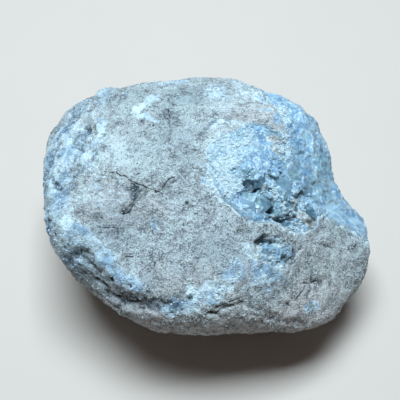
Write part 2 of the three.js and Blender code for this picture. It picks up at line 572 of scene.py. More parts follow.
# ---- Marks: the cracks, pits, ridges, crusts and stains of this stone ----


class Tint(Enum):
    """What covers or stains the rock, and the painted shade and painted light on it. Each is kept as a
    number at every vertex.
    """

    CRUST = "crust"
    # dirt, mixed with painted shade in hollows, pits, cracks and under overhangs
    DIRT = "dirt"
    # pale rock and calm crystal faces, and painted light on the rim's folds and the front crust
    PALE = "pale"
    # tan rock, and painted warm reflected light over the front and underside
    TAN = "tan"
    # painted shade, and darker, greener crystal in the celestine
    SHADE = "shade"
    DEEP = "deep"


CRUST, DIRT, PALE, TAN, SHADE, DEEP = Tint


@dataclass(frozen=True)
class Mark:
    """A crack, ridge, pit, mound or stain along a line on the stone.

    Attributes:
        path: the line's points in mm; one point makes a round mark.
        width: its half-width, in mm.
        height: how far the surface rises along it, in mm; negative for a crack or a pit.
        tint: what covers or stains it, or the painted shade on it.
        strength: how strong the tint is, from 0 to 1.
        ragged: how far its edge wanders, in mm.
        soft: share of the half-width over which it fades.
    """

    path: tuple[Place, ...]
    width: float
    height: float
    tint: Tint = DIRT
    strength: float = 0.0
    ragged: float = 0.6
    soft: float = 0.5

    def distance(self, points: Array) -> Array:
        """Measures how far places lie from the mark's line.

        Args:
            points: places in mm, one row each.

        Returns:
            The distance of each place, in mm.
        """
        line = np.array(self.path)
        if len(line) == 1:
            return np.linalg.norm(points - line[0], axis=1)
        nearest = np.full(len(points), np.inf)
        for start, end in zip(line[:-1], line[1:]):
            along = end - start
            share = np.clip((points - start) @ along / (along @ along), 0.0, 1.0)
            away = np.linalg.norm(points - start - share[:, None] * along, axis=1)
            nearest = np.minimum(nearest, away)
        return nearest

    def cover(self, points: Array) -> Array:
        """Gives 1 on the mark and 0 away from it."""
        outer, inner = self.width * (1.0 + self.soft), self.width * (1.0 - self.soft)
        return smoothstep(outer, inner, self.distance(points))


CRACK_END = 0.5  # how far past its last point, in mm, a crack fades out
GROOVE_REACH = 1.6  # half-widths of its groove over which a crack sinks the surface


@dataclass(frozen=True)
class Crack:
    """A fine open crack.

    Attributes:
        path: its points in mm.
        width: half-width of the groove that it lies in, in mm.
        depth: of the groove, in mm.
        strength: how dark the painted shade in it is, from 0 to 1.
        ragged: how far it wanders, in mm.
    """

    path: tuple[Place, ...]
    width: float = 0.45
    depth: float = 1.0
    strength: float = 1.0
    ragged: float = 0.3

    def measured(self, points: Array, normals: Array) -> tuple[Array, Array]:
        """Measures places against the crack's line.

        Args:
            points: the places, in mm.
            normals: the surface's normal at each place.

        Returns:
            The distance in mm, negative on one side of the line, and a number that is 1 beside
            the line and falls to 0 past its ends.
        """
        line = np.array(self.path)
        nearest, signed = np.full((2, len(points)), FAR_AWAY)
        beside = np.zeros(len(points))
        last = len(line) - 2
        for number, (start, end) in enumerate(zip(line[:-1], line[1:])):
            along = end - start
            reach = np.linalg.norm(along)
            free = (points - start) @ along / reach**2
            away = points - start - np.clip(free, 0.0, 1.0)[:, None] * along
            distance = np.linalg.norm(away, axis=1)
            closer = distance < nearest
            side = np.sign((np.cross(along, away) * normals).sum(axis=1))
            past = np.zeros(len(points))
            if number == 0:
                past = np.maximum(past, -free * reach)
            if number == last:
                past = np.maximum(past, (free - 1.0) * reach)
            nearest = np.where(closer, distance, nearest)
            signed = np.where(closer, distance * side, signed)
            beside = np.where(closer, smoothstep(CRACK_END, 0.0, past), beside)
        return signed, beside


SEAM_REACH = 3.0  # how far from a crack, in mm, the distance to it is kept
CALM_FOOT = (0.1, 3.5)  # heights in mm between which the relief grows, above the flat spot
WANDER = tuple(Roughness(3.2, 3, seed, 0.6) for seed in (301, 302, 303))  # one for each axis


class Relief:
    """Heights and tints gathered over a net before its knots are moved."""

    def __init__(self, net: Net) -> None:
        """Starts with a bare, level surface.

        Args:
            net: the net on the smooth skin.
        """
        self.net = net
        self.height = np.zeros(len(net.points))
        self.tints = {tint.value: np.zeros(len(net.points)) for tint in Tint}
        self.split = np.zeros(len(net.points))
        self.seam = np.full(len(net.points), SEAM_REACH)
        self.wander = np.stack([pattern.at(net.points) for pattern in WANDER], axis=1)

    def _near(self, path: tuple[Place, ...], reach: float) -> Array:
        """Marks the knots that lie within reach, in mm, of a path's box."""
        low, high = np.min(path, axis=0) - reach, np.max(path, axis=0) + reach
        return ((self.net.points > low) & (self.net.points < high)).all(axis=1)

    def add(self, mark: Mark) -> None:
        """Raises or sinks the surface along a mark, and tints it.

        Args:
            mark: the mark.
        """
        near = self._near(mark.path, 2.0 * (mark.width + mark.ragged))
        cover = mark.cover(self.net.points[near] + mark.ragged * self.wander[near])
        self.height[near] += mark.height * cover
        tint = self.tints[mark.tint.value]
        tint[near] = np.maximum(tint[near], mark.strength * cover)

    def crack(self, crack: Crack) -> None:
        """Opens a crack: a groove in the surface, and the distance to its line.

        Args:
            crack: the crack.
        """
        near = self._near(crack.path, SEAM_REACH + crack.ragged)
        places = self.net.points[near] + crack.ragged * self.wander[near]
        signed, beside = crack.measured(places, self.net.normals()[near])
        distance = np.abs(signed)
        self.height[near] -= crack.depth * beside * smoothstep(GROOVE_REACH * crack.width, 0.0, distance)
        closer = distance < np.abs(self.seam[near])
        chosen = np.flatnonzero(near)[closer]
        self.seam[chosen] = signed[closer]
        self.split[chosen] = crack.strength * beside[closer]

    def tint(self, tint: Tint, amount: Array) -> None:
        """Lays a tint on the surface where it is stronger than what is there."""
        self.tints[tint.value] = np.maximum(self.tints[tint.value], amount)

    def moved(self) -> Array:
        """Moves the knots along their normals by their heights.

        Returns:
            The new places in mm, with the stone's flat spot kept flat.
        """
        calm = smoothstep(*CALM_FOOT, self.net.points[:, 2])
        points = self.net.points + self.net.normals() * (self.height * calm)[:, None]
        points[:, 2] = np.maximum(points[:, 2], 0.0)
        return points

    def cavity(self, reach: int, depth: float) -> Array:
        """Tells hollows from tops.

        Args:
            reach: rounds of averaging that make the level to compare with.
            depth: depth of a full hollow, in mm.

        Returns:
            0 in a hollow, 0.5 on a level surface and 1 on a top.
        """
        level = self.net.relaxed(self.height, reach)
        return np.clip(0.5 + 0.5 * (self.height - level) / depth, 0.0, 1.0)


CRACKS = (
    # the long crack that curves under the slab
    Crack(
        (
            (-34, -9.5, 61), (-32, -9.5, 61.5), (-30, -11, 61), (-28.5, -11, 61.5),
            (-27, -13, 61), (-25, -14, 61), (-22.5, -15, 61), (-20.5, -16, 60.5),
            (-17.5, -17, 60.5), (-16, -16.5, 61), (-14.5, -14.5, 61.5), (-13, -12.5, 62),
            (-11.5, -12, 62),
        ),
        0.26, 0.7, 1, 0.5,
    ),
    Crack(((-24.5, -11.5, 61.5), (-22.5, -10, 62)), 0.4, 0.5, 0.7, 0.4),
    # the crack that runs down from it
    Crack(((-25, -14.5, 60.5), (-25, -19, 59.5), (-25.5, -21, 59)), 0.7, 0.7, 0.55, 0.5),
    Crack(((-25.5, -20.5, 59), (-27, -23.5, 58), (-29.5, -24, 57.5)), 0.7, 0.9, 1, 0.5),
    Crack(((-37.5, -28, 55.5), (-34, -28.5, 55.5), (-30.5, -29.5, 55.5)), 0.7, 0.6, 0.6, 1),
    Crack(((-27.5, -38, 52), (-25, -38, 52)), 0.35, 0.6, 0.9, 0.2),
    Crack(((-32, -36, 52), (-29, -35, 52.5)), 0.35, 0.5, 0.6, 0.3),
    # the rough seam that runs up the middle of the top
    Crack(((-14.5, 19.5, 63.5), (-13.5, 13.5, 63.5), (-13, 10.5, 64)), 0.8, 0.6, 0.7, 1.2),
    Crack(((-12.5, 8, 64), (-14, 3, 63.5), (-13, -2, 63)), 0.6, 0.4, 0.45, 1.4),
    # fine cracks in the right lobe and over the front
    Crack(((33, -41.5, 39), (35, -41, 39), (37.5, -40.5, 37.5), (40, -39, 37)), 0.5, 0.7),
    Crack(((35.5, -42, 38.5), (33.5, -44.5, 38.5), (30.5, -47.5, 38.5)), 0.4, 0.5, 0.6, 0.4),
    Crack(((2.5, -53.5, 45), (6.5, -52.5, 46), (10.5, -51, 46.5)), 0.5, 0.8, 0.9, 0.4),
    Crack(((-44, 12, 58), (-40, 15.5, 59), (-36.5, 16, 60.5)), 0.4, 0.5, 0.5, 1),
    Crack(((6, -27, 58), (9.5, -30.5, 56), (14, -31, 54.5)), 0.4, 0.5, 0.5, 0.8),
)

# round pits, darkened inside with painted shade, each with its place and its radius in mm
PITS = tuple(
    Mark(((x, y, z),), radius, -1.7 * radius, DIRT, 1, 0.35, 0.45)
    for x, y, z, radius in (
        (-40.5, 20, 59, 0.7),
        (-7, -21, 60, 0.65),
        (-8, -28.5, 57, 0.45),
        (-5.5, -51, 47, 1),
        (-22, -40, 51.5, 0.6),
        (6, 16.5, 64, 0.4),
        (-13.5, 3.5, 63.5, 0.6),
        (-29.5, 9, 63, 0.45),
        (-35, 9.5, 61.5, 0.5),
        (-34.5, 14.5, 61.5, 0.4),
        (-32, -44.5, 48, 0.8),
        (-25.5, -47, 48, 0.7),
        (2, -33, 55, 0.4),
        (31.5, -40, 41.5, 0.5),
        (-17, -31, 56, 0.4),
    )
)

RIDGES = (
    # painted shadow along the edges of the slab, where it hangs over the cracks
    Mark(((-18, -17.2, 60.5), (-16, -16.6, 61)), 0.4, -0.4, DIRT, 0.8, 0.2),
    Mark(((-30.4, -10.9, 61), (-28.6, -11.4, 61.5)), 0.4, -0.4, DIRT, 0.7, 0.2),
    Mark(((-25.2, -15.5, 60.5), (-25, -18.5, 59.5)), 1.5, -0.7, SHADE, 1, 0.8),
    Mark(((-25.8, -21.5, 59), (-27.5, -23.5, 58), (-29, -23.8, 57.5)), 0.9, -0.7, DIRT, 0.6, 0.8),
    Mark(((-14, 18, 63.5), (-13, 9.5, 64)), 1.4, -0.5, DIRT, 0.45, 1.5),
    # fine dark streaks over the rear of the top
    Mark(((-33.5, 18.5, 61.5), (-31.5, 18, 62), (-29.5, 18.5, 62.5)), 0.35, -0.3, DIRT, 0.7, 0.5),
    Mark(((-25.5, 25.5, 62), (-23.5, 26, 62)), 0.4, -0.4, DIRT, 0.7, 0.4),
    Mark(((-40, 30.5, 57.5), (-36, 31, 58.5)), 0.5, -0.4, DIRT, 0.6, 0.6),
    Mark(((-2.5, 6, 64), (0.5, 9.5, 64), (3.5, 13.5, 64)), 0.7, -0.4, SHADE, 0.7, 1.2),
    # the two white ridges at the rear of the top
    Mark(((-19, 25, 62.5), (-21.5, 22, 63), (-25.5, 19, 63)), 2, 0.9, CRUST, 0.85, 2),
    Mark(((-24.5, 16.5, 63), (-21, 14, 63.5), (-18.5, 13, 63.5)), 1.3, 0.8, CRUST, 0.85, 1.6),
    Mark(((-19, 25, 62.5), (-22.5, 21, 63), (-26, 18, 63)), 2.8, 0, PALE, 0.8, 1),
    # the white tongue at the front left, with the hollows beneath it darkened with painted shade
    Mark(
        ((-48, -25, 53), (-43, -31, 53), (-38.5, -35, 52.5), (-35, -38, 51.5)),
        3.7, 1.2, CRUST, 0.85, 2.4, 0.6,
    ),
    Mark(
        ((-36, -40, 52), (-31.9, -43.2, 51), (-28, -45.6, 50.2), (-23.5, -47.6, 49.2)),
        2.9, 1.5, CRUST, 0.9, 2, 0.6,
    ),
    Mark(((-45, -36, 49), (-42, -36.5, 50), (-39.5, -38.5, 49.5)), 2.2, -1.3, DIRT, 0.45, 2.2),
    Mark(((-38.5, -43.5, 46), (-34, -46.6, 44.5)), 0.9, -1, DIRT, 0.5, 1.4),
    Mark(
        ((-33, -47.6, 42.4), (-28, -50, 42.8), (-22, -51.8, 43.8), (-13, -52.2, 45.2)),
        2, -1.4, DIRT, 0.5, 2.2,
    ),
    Mark(((-30, -49.6, 43.8), (-20, -51.8, 44.8), (-10, -52.2, 46)), 2.6, -0.4, SHADE, 0.8, 2.4),
    Mark(((35, -48, 34.5), (38.5, -47, 33.5)), 2.2, 0.3, CRUST, 0.8, 1.8),
    # the dips and the bump of the rear edge of the top
    Mark(((-31.5, 38, 56), (-25.5, 41, 55)), 5.2, -2.6, SHADE, 0.2, 1, 0.8),
    Mark(((-39, 35, 55.6), (-36.5, 36, 55.8)), 4.4, 2.2, CRUST, 0.4, 1, 0.8),
    Mark(((-10, 45, 54), (2, 46, 54)), 9, -1.5, SHADE, 0, 1, 0.8),
    # the hole above the lower pocket, darkened with painted shade, beneath its brown overhang
    Mark(((17.3, -33, 52.7), (18.6, -32.2, 52.7), (19.8, -31.2, 52.8)), 1.3, -2.6, DIRT, 1, 0.5),
    Mark(((18.6, -30.6, 53.8), (20.6, -30.2, 53.2), (22.4, -30.8, 52.2)), 0.9, 0.6, DIRT, 0.5, 0.8),
    # the grey pit beside it, darkened with painted shade
    Mark(((25.5, -36.6, 47.5), (28, -35.9, 45.8), (30.5, -33.5, 46)), 1.8, -1, SHADE, 1, 1.4),
    Mark(((26.5, -37.2, 46), (29.5, -35.4, 45.6)), 0.7, -0.8, DIRT, 0.7, 1.2),
    # the front edge
    Mark(((1.5, -55, 43.5), (4.5, -54, 44), (11, -51.5, 45.5)), 0.8, -0.9, DIRT, 0.6, 1.4),
    # the ledge and the shell-shaped hollow of the left rim, darkened with painted shade
    Mark(((-57, -5.5, 51), (-55, -8.5, 53), (-52.5, -11, 54.5)), 1.3, -1.4, SHADE, 1, 1.2),
    Mark(((-56.5, -20, 48), (-53.5, -22.5, 49)), 1.1, -1, SHADE, 1, 1.2),
    Mark(((-49, 11, 56), (-45.5, 13, 57.5)), 2.4, -1.2, SHADE, 0.7, 1.8),
    Mark(((-50, 8, 55.5), (-47.5, 7, 57), (-46.5, 1.5, 57.5)), 1.3, -0.9, SHADE, 0.7, 1.4),
    Mark(((-40, 16, 60), (-38.5, 10, 60.5), (-41, 4.5, 60)), 1.8, 0.7, CRUST, 0.85, 2.2),
    Mark(((-48.5, 4, 56.5), (-42.5, -3.5, 59)), 2, 0.6, CRUST, 0.8, 2),
    # curved ridges beside the lower pocket, and the fan of fine ones above it
    *(
        Mark(
            ((34 + out, -28.5, 45), (32.5 + out, -31, 45), (30.5 + out, -34.5, 44.5), (28 + out, -40, 44)),
            0.35, -0.5, DIRT, 0.45, 0.5,
        )
        for out in (0, 1.6, 3.4)
    ),
    *(
        Mark(
            ((24 + out, -27, 51.5 - 0.6 * out), (29 + out, -30.5, 48 - 0.6 * out)),
            0.3, -0.5, DIRT, 0.35, 0.3,
        )
        for out in (0, 1.8, 3.6)
    ),
    # fissures of the right lobe
    Mark(((38, -39, 37.5), (40, -39.5, 36.5), (41.5, -39.5, 35)), 1.1, -1, DIRT, 0.5, 0.8),
    Mark(((37.5, -42, 37), (36.5, -44, 36.5), (35, -46, 36.5)), 0.5, -0.7, DIRT, 0.6, 0.8),
    Mark(((42.5, -26.5, 40.5), (46, -26.5, 38.5)), 0.6, -0.6, DIRT, 0.55, 0.8),
)

# Patches of each tint: middle, half-sizes, softness, raggedness, ripple and strength of each.
AREAS = {
    CRUST: areas(
        # the blue-white rim down the left side
        ((-54, 8, 47), (13, 20, 15), 0.35, 0.35, 6, 0.78),
        ((-57, -14, 48), (11.5, 22, 15), 0.35, 0.35, 6, 0.85),
        ((-50, -28, 47), (9.5, 12, 11), 0.4, 0.45, 5, 0.8),
        ((-43, 3, 59), (7, 14, 6), 0.6, 0.7, 5, 0.6),
        ((-38, 30, 52), (14, 10, 9), 0.5, 0.6, 5, 0.62),
        ((-49, 26, 49), (10, 12, 9), 0.5, 0.6, 5, 0.65),
        ((-16, 40, 55), (14, 7, 8), 0.5, 0.6, 4, 0.75),
        ((4, 28, 61), (5, 6, 5), 0.6, 0.7, 4, 0.7),
        ((12, 36, 56), (12, 6, 7), 0.6, 0.8, 4, 0.6),
        ((16, 31.5, 60), (9, 4.5, 5), 0.6, 0.9, 3.5, 0.6),
        ((22, 24.5, 62), (3, 6.5, 4), 0.6, 0.9, 3, 0.75),
        ((26, 13.5, 63.3), (2.2, 6.5, 4), 0.6, 0.9, 2.5, 0.8),
        # the crust along the front edge and below the lower pocket
        ((0.5, -50, 48), (8, 5, 4.5), 0.5, 0.7, 3, 1),
        ((-9, -53.5, 45), (7, 3, 3.5), 0.6, 0.8, 3, 0.8),
        ((10, -43.5, 51), (5.5, 4.5, 4), 0.6, 0.8, 3, 0.7),
        ((20, -41, 48), (7, 7, 6), 0.6, 0.8, 3, 0.85),
        ((14.5, -35.5, 53.5), (4.5, 5, 5), 0.6, 0.8, 3, 0.6),
        ((-18, -28.5, 57), (2.6, 3, 2.4), 0.6, 0.9, 2, 0.7),
        # the white crust that runs out over the rock beside the large pocket
        ((3.2, -8.5, 62.6), (4.6, 8, 5), 0.6, 0.8, 3.5, 1),
        ((6, -18.5, 60), (4.5, 4, 5), 0.6, 0.8, 3, 0.8),
        ((5.5, 3.5, 63.5), (4, 4, 5), 0.6, 0.8, 3.5, 0.6),
        ((5, 11, 63.8), (7, 3.5, 4), 0.6, 0.8, 3, 0.6),
        ((-5, -26, 59), (9, 8, 5), 0.6, 0.9, 4, 0.35),
        ((-30, -14, 61), (9, 7, 5), 0.6, 0.9, 4, 0.4),
        ((-40, -14, 58), (6, 9, 5), 0.6, 0.9, 4, 0.5),
    ),
    DIRT: areas(
        ((-9, 30, 61.5), (11, 6, 6), 0.6, 0.9, 3, 0.42),
        ((-13, 12, 63), (3, 9, 4), 0.7, 0.9, 2.5, 0.42),
        ((-34, -28, 56), (9, 5, 5), 0.7, 0.9, 2.5, 0.42),
        ((-44, -40, 46), (8, 8, 7), 0.5, 0.8, 3, 0.45),
        ((-55, -24, 47), (6, 12, 8), 0.7, 0.9, 3, 0.4),
        ((-20, -52, 44), (14, 4, 5), 0.6, 0.8, 3, 0.42),
        ((28, -35.5, 46.5), (4.5, 3, 4), 0.5, 0.7, 2, 0.7),
        ((23.5, -46, 44.5), (4, 4, 4), 0.6, 0.9, 2, 0.5),
        ((-22.5, 2, 63), (9, 6, 4), 0.7, 0.9, 2.5, 0.3),
        ((10, -49, 46.5), (10, 5, 5), 0.7, 0.9, 2.5, 0.38),
        ((0, -50, 26), (70, 20, 22), 0.6, 0.6, 8, 0.25),
    ),
    PALE: areas(
        ((-31, -1, 62.5), (7, 6, 5), 0.6, 0.5, 4, 0.9),
        ((-21, -0.5, 63.5), (5, 4, 4), 0.6, 0.6, 4, 0.5),
        ((-32.5, -20.5, 58.5), (4, 5, 4), 0.6, 0.6, 4, 0.35),
        ((-38, 5, 60.5), (6, 6, 4), 0.6, 0.6, 4, 0.5),
        ((4, 24, 62), (12, 9, 6), 0.6, 0.7, 5, 0.35),
        ((-6, 4, 63), (8, 8, 5), 0.6, 0.7, 5, 0.3),
        # painted light on the steep front crust
        ((0.5, -50.5, 48), (7, 4.5, 4.5), 0.5, 0.6, 3, 0.45),
        ((-40, -34, 52), (8, 4.5, 4), 0.5, 0.6, 3, 0.3),
        ((-29, -42.5, 50), (8, 4, 4), 0.5, 0.6, 3, 0.25),
        ((3.2, -9, 62.6), (4.5, 8, 5), 0.6, 0.8, 3.5, 0.3),
        ((5, 12, 63.8), (8, 4, 4), 0.6, 0.8, 3, 0.5),
    ),
    TAN: areas(
        ((17, 12, 63), (13, 10, 6), 0.5, 0.5, 6, 0.45),
        ((40, -38, 38), (20, 12, 14), 0.5, 0.5, 6, 0.35),
        ((-30, -20, 58), (14, 10, 6), 0.5, 0.6, 6, 0.5),
        # tan over the front and underside, partly painted warm reflected light
        ((0, -48, 20), (70, 16, 26), 0.4, 0.4, 9, 0.9),
    ),
    SHADE: areas(
        ((-7, 27, 62), (13, 6, 6), 0.6, 0.6, 5, 0.45),
        ((-14, 10, 63), (5, 14, 5), 0.7, 0.6, 5, 0.35),
        ((-18, -2, 62.5), (10, 5, 5), 0.7, 0.6, 5, 0.2),
        ((-8, 0, 62.5), (4, 12, 5), 0.7, 0.6, 5, 0.3),
        ((-32, -26, 56), (13, 8, 6), 0.7, 0.6, 5, 0.4),
        ((-45, -38, 46), (10, 9, 9), 0.5, 0.5, 5, 0.6),
        ((-30, -47, 45), (13, 5, 6), 0.5, 0.5, 5, 0.5),
        ((-57, -12, 44), (8, 22, 8), 0.5, 0.5, 5, 0.45),
        ((33, -37, 42), (12, 8, 8), 0.6, 0.5, 5, 0.1),
        ((17, -44, 47), (10, 5, 6), 0.6, 0.6, 4, 0.35),
        ((-34, 30, 58), (12, 6, 6), 0.6, 0.6, 5, 0.3),
        ((-54, -21, 51.5), (5, 8, 6), 0.6, 0.6, 4, 0.45),
        ((-36, -33, 54), (8, 4, 4), 0.6, 0.7, 4, 0.3),
        ((5, -36, 54.5), (8, 7, 5), 0.7, 0.7, 5, 0.28),
        ((23, -43.5, 46), (7, 5, 4), 0.6, 0.7, 3, 0.5),
    ),
}


# ---- Node trees ----


class Signal:
    """One varying number of a node tree, which works in arithmetic."""

    def __init__(self, bench: "Bench", socket: NodeSocket) -> None:
        """Wraps an output socket.

        Args:
            bench: the tree that it belongs to.
            socket: the output.
        """
        self.bench = bench
        self.socket = socket

    def _math(self, operation: str, first: object, second: object) -> "Signal":
        """Adds a Math node for two values."""
        node = self.bench.node("ShaderNodeMath", {"operation": operation}, {0: first, 1: second})
        return Signal(self.bench, node.outputs[0])

    def __add__(self, other: object) -> "Signal":
        """Adds a value."""
        return self._math("ADD", self, other)

    def __sub__(self, other: object) -> "Signal":
        """Takes a value away."""
        return self._math("SUBTRACT", self, other)

    def __rsub__(self, other: object) -> "Signal":
        """Is taken away from a value."""
        return self._math("SUBTRACT", other, self)

    def __mul__(self, other: object) -> "Signal":
        """Multiplies by a value."""
        return self._math("MULTIPLY", self, other)

    __radd__ = __add__
    __rmul__ = __mul__

    def ramp(self, low: float, high: float) -> "Signal":
        """Turns a range of values into a smooth rise from 0 to 1.

        Args:
            low: the value that gives 0.
            high: the value that gives 1; where it is below low, the rise becomes a fall.

        Returns:
            The new number.
        """
        settings = {"interpolation_type": "SMOOTHSTEP"}
        ends = {"From Min": low, "From Max": high, "To Min": 0.0, "To Max": 1.0}
        if low > high:
            ends = {"From Min": high, "From Max": low, "To Min": 1.0, "To Max": 0.0}
        node = self.bench.node("ShaderNodeMapRange", settings, {"Value": self, **ends})
        return Signal(self.bench, node.outputs["Result"])

    def size(self) -> "Signal":
        """Drops the minus sign."""
        return self._math("ABSOLUTE", self, 0.0)


class Bench:
    """A node tree being built, for a finish or for Geometry Nodes."""

    def __init__(self, tree: NodeTree) -> None:
        """Takes over an empty tree.

        Args:
            tree: the tree to build in.
        """
        self.tree = tree

    def node(self, kind: str, settings: dict, sockets: dict) -> Node:
        """Adds a node.

        Args:
            kind: the node's type.
            settings: its own settings, which are made first.
            sockets: a value, a signal or another socket for each input, by name or number.

        Returns:
            The node.
        """
        node = self.tree.nodes.new(kind)
        for name, value in settings.items():
            setattr(node, name, value)
        for name, value in sockets.items():
            socket = node.inputs[name]
            if isinstance(value, Signal):
                self.tree.links.new(value.socket, socket)
            elif isinstance(value, NodeSocket):
                self.tree.links.new(value, socket)
            else:
                socket.default_value = value
        return node

    def random(self, low: object, high: object, seed: object) -> NodeSocket:
        """Gives each element a random value.

        Args:
            low: lower end of the range, a number or a vector.
            high: upper end.
            seed: picks one set of values out of many.

        Returns:
            The output, a number or a vector as the ends are.
        """
        if isinstance(low, tuple) or getattr(low, "type", "VALUE") == "VECTOR":
            kind, ends, output = "FLOAT_VECTOR", {0: low, 1: high}, 0
        else:
            kind, ends, output = "FLOAT", {2: low, 3: high}, 1
        node = self.node("FunctionNodeRandomValue", {"data_type": kind}, {**ends, "Seed": seed})
        return node.outputs[output]


MID_GREY = (0.5, 0.5, 0.5)
CELESTINE_IOR = 1.62


class Finish(Bench):
    """A material being built on Object coordinates."""

    def __init__(self, name: str) -> None:
        """Starts an empty material.

        Args:
            name: the material's name.
        """
        self.material = bpy.data.materials.new(name)
        self.material.use_nodes = True
        super().__init__(self.material.node_tree)
        self.tree.nodes.clear()
        self.place = self.node("ShaderNodeTexCoord", {}, {}).outputs["Object"]

    def texture(self, kind: str, size: float, sockets: dict, settings: dict | None = None) -> Node:
        """Adds a texture with bumps or cells of a size in mm."""
        sockets = {"Vector": self.place, "Scale": 1.0 / (size * MM), **sockets}
        return self.node(f"ShaderNodeTex{kind}", settings or {}, sockets)

    def vector(self, operation: str, *values: object) -> Node:
        """Adds a Vector Math node for some values."""
        return self.node("ShaderNodeVectorMath", {"operation": operation}, dict(enumerate(values)))

    def noise(self, size: float, layers: float, rough: float = 0.5, warp: float = 0.0) -> Signal:
        """Gives noise from 0 to 1 with bumps of a size in mm."""
        sockets = {"Detail": layers, "Roughness": rough, "Distortion": warp}
        return Signal(self, self.texture("Noise", size, sockets).outputs[0])

    def cells(self, size: float) -> tuple[Signal, NodeSocket]:
        """Gives the distance to the seed of each grain of a size in mm, and the grain's colour."""
        node = self.texture("Voronoi", size, {"Randomness": 1.0}, {"feature": "F1"})
        return Signal(self, node.outputs["Distance"]), node.outputs["Color"]

    def wandering(self, size: float, reach: float) -> NodeSocket:
        """Gives the coordinates moved about by noise; the size and the reach are in mm."""
        moved = self.texture("Noise", size, {"Detail": 2.0}).outputs["Color"]
        middle = self.vector("SUBTRACT", moved, MID_GREY).outputs[0]
        return self.vector("MULTIPLY_ADD", middle, (2.0 * reach * MM,) * 3, self.place).outputs[0]

    def facets(self, size: float, place: NodeSocket) -> tuple[Signal, Signal, Signal]:
        """Tilts a flat crystal face in each grain.

        Args:
            size: distance between grains, in mm.
            place: the coordinates.

        Returns:
            The face's height in mm, its own tone from 0 to 1, and the distance to its edge in
            grain sizes.
        """
        sockets = {"Vector": place, "Randomness": 0.9}
        grain = self.texture("Voronoi", size, sockets, {"feature": "F1"})
        border = self.texture("Voronoi", size, sockets, {"feature": "DISTANCE_TO_EDGE"})
        offset = self.vector("SUBTRACT", place, grain.outputs["Position"]).outputs[0]
        lean = self.vector("SUBTRACT", grain.outputs["Color"], MID_GREY).outputs[0]
        height = Signal(self, self.vector("DOT_PRODUCT", offset, lean).outputs["Value"])
        parts = self.node("ShaderNodeSeparateColor", {}, {"Color": grain.outputs["Color"]})
        tone, step = Signal(self, parts.outputs[1]), Signal(self, parts.outputs[2])
        rise = height * (1.0 / MM) + step * (0.25 * size)
        return rise, tone, Signal(self, border.outputs["Distance"])

    def streaks(
        self, along: Place, across: Place, length: float, width: float, place: NodeSocket
    ) -> Signal:
        """Makes noise that is drawn out along a direction.

        Args:
            along: the direction.
            across: the direction at right angles to it.
            length: size of the streaks along it, in mm.
            width: their size across it, in mm.
            place: the coordinates.

        Returns:
            A number from 0 to 1.
        """
        parts = [
            self.vector("DOT_PRODUCT", place, tuple(part / (size * MM) for part in way)).outputs["Value"]
            for way, size in ((along, length), (across, width))
        ]
        place = self.node("ShaderNodeCombineXYZ", {}, {0: parts[0], 1: parts[1]}).outputs[0]
        sockets = {"Vector": place, "Scale": 1.0, "Detail": 3.0, "Roughness": 0.6}
        return Signal(self, self.node("ShaderNodeTexNoise", {}, sockets).outputs[0])

    def kept(self, name: str) -> Signal:
        """Reads a number that is stored at every vertex."""
        node = self.node("ShaderNodeAttribute", {"attribute_name": name}, {})
        return Signal(self, node.outputs["Fac"])

    def mix(self, share: object, first: object, second: object) -> NodeSocket:
        """Mixes two colours; a colour is a triple or a socket."""
        pair = [(*part, 1.0) if isinstance(part, tuple) else part for part in (first, second)]
        sockets = {0: share, 6: pair[0], 7: pair[1]}
        return self.node("ShaderNodeMix", {"data_type": "RGBA"}, sockets).outputs[2]

    def shade(self, colour: object, share: object, tone: Colour) -> NodeSocket:
        """Multiplies a colour by a tone, as far as the share says."""
        settings = {"data_type": "RGBA", "blend_type": "MULTIPLY"}
        sockets = {0: share, 6: colour, 7: (*tone, 1.0)}
        return self.node("ShaderNodeMix", settings, sockets).outputs[2]

    def bump(self, height: Signal, depth: float, strength: float) -> NodeSocket:
        """Turns a height from 0 to 1 into a bumpy normal; the depth is in mm."""
        sockets = {"Strength": strength, "Distance": depth * MM, "Height": height}
        return self.node("ShaderNodeBump", {}, sockets).outputs[0]

    def finished(self, sockets: dict, volume: dict | None = None) -> Material:
        """Ends the material in a Principled shader.

        Args:
            sockets: values for the shader's sockets.
            volume: colour and density of the absorption inside, for a clear material.

        Returns:
            The material.
        """
        shader = self.node("ShaderNodeBsdfPrincipled", {}, sockets)
        ends = {"Surface": shader.outputs[0]}
        if volume:
            ends["Volume"] = self.node("ShaderNodeVolumeAbsorption", {}, volume).outputs[0]
        self.node("ShaderNodeOutputMaterial", {}, ends)
        return self.material


# ---- Finishes ----


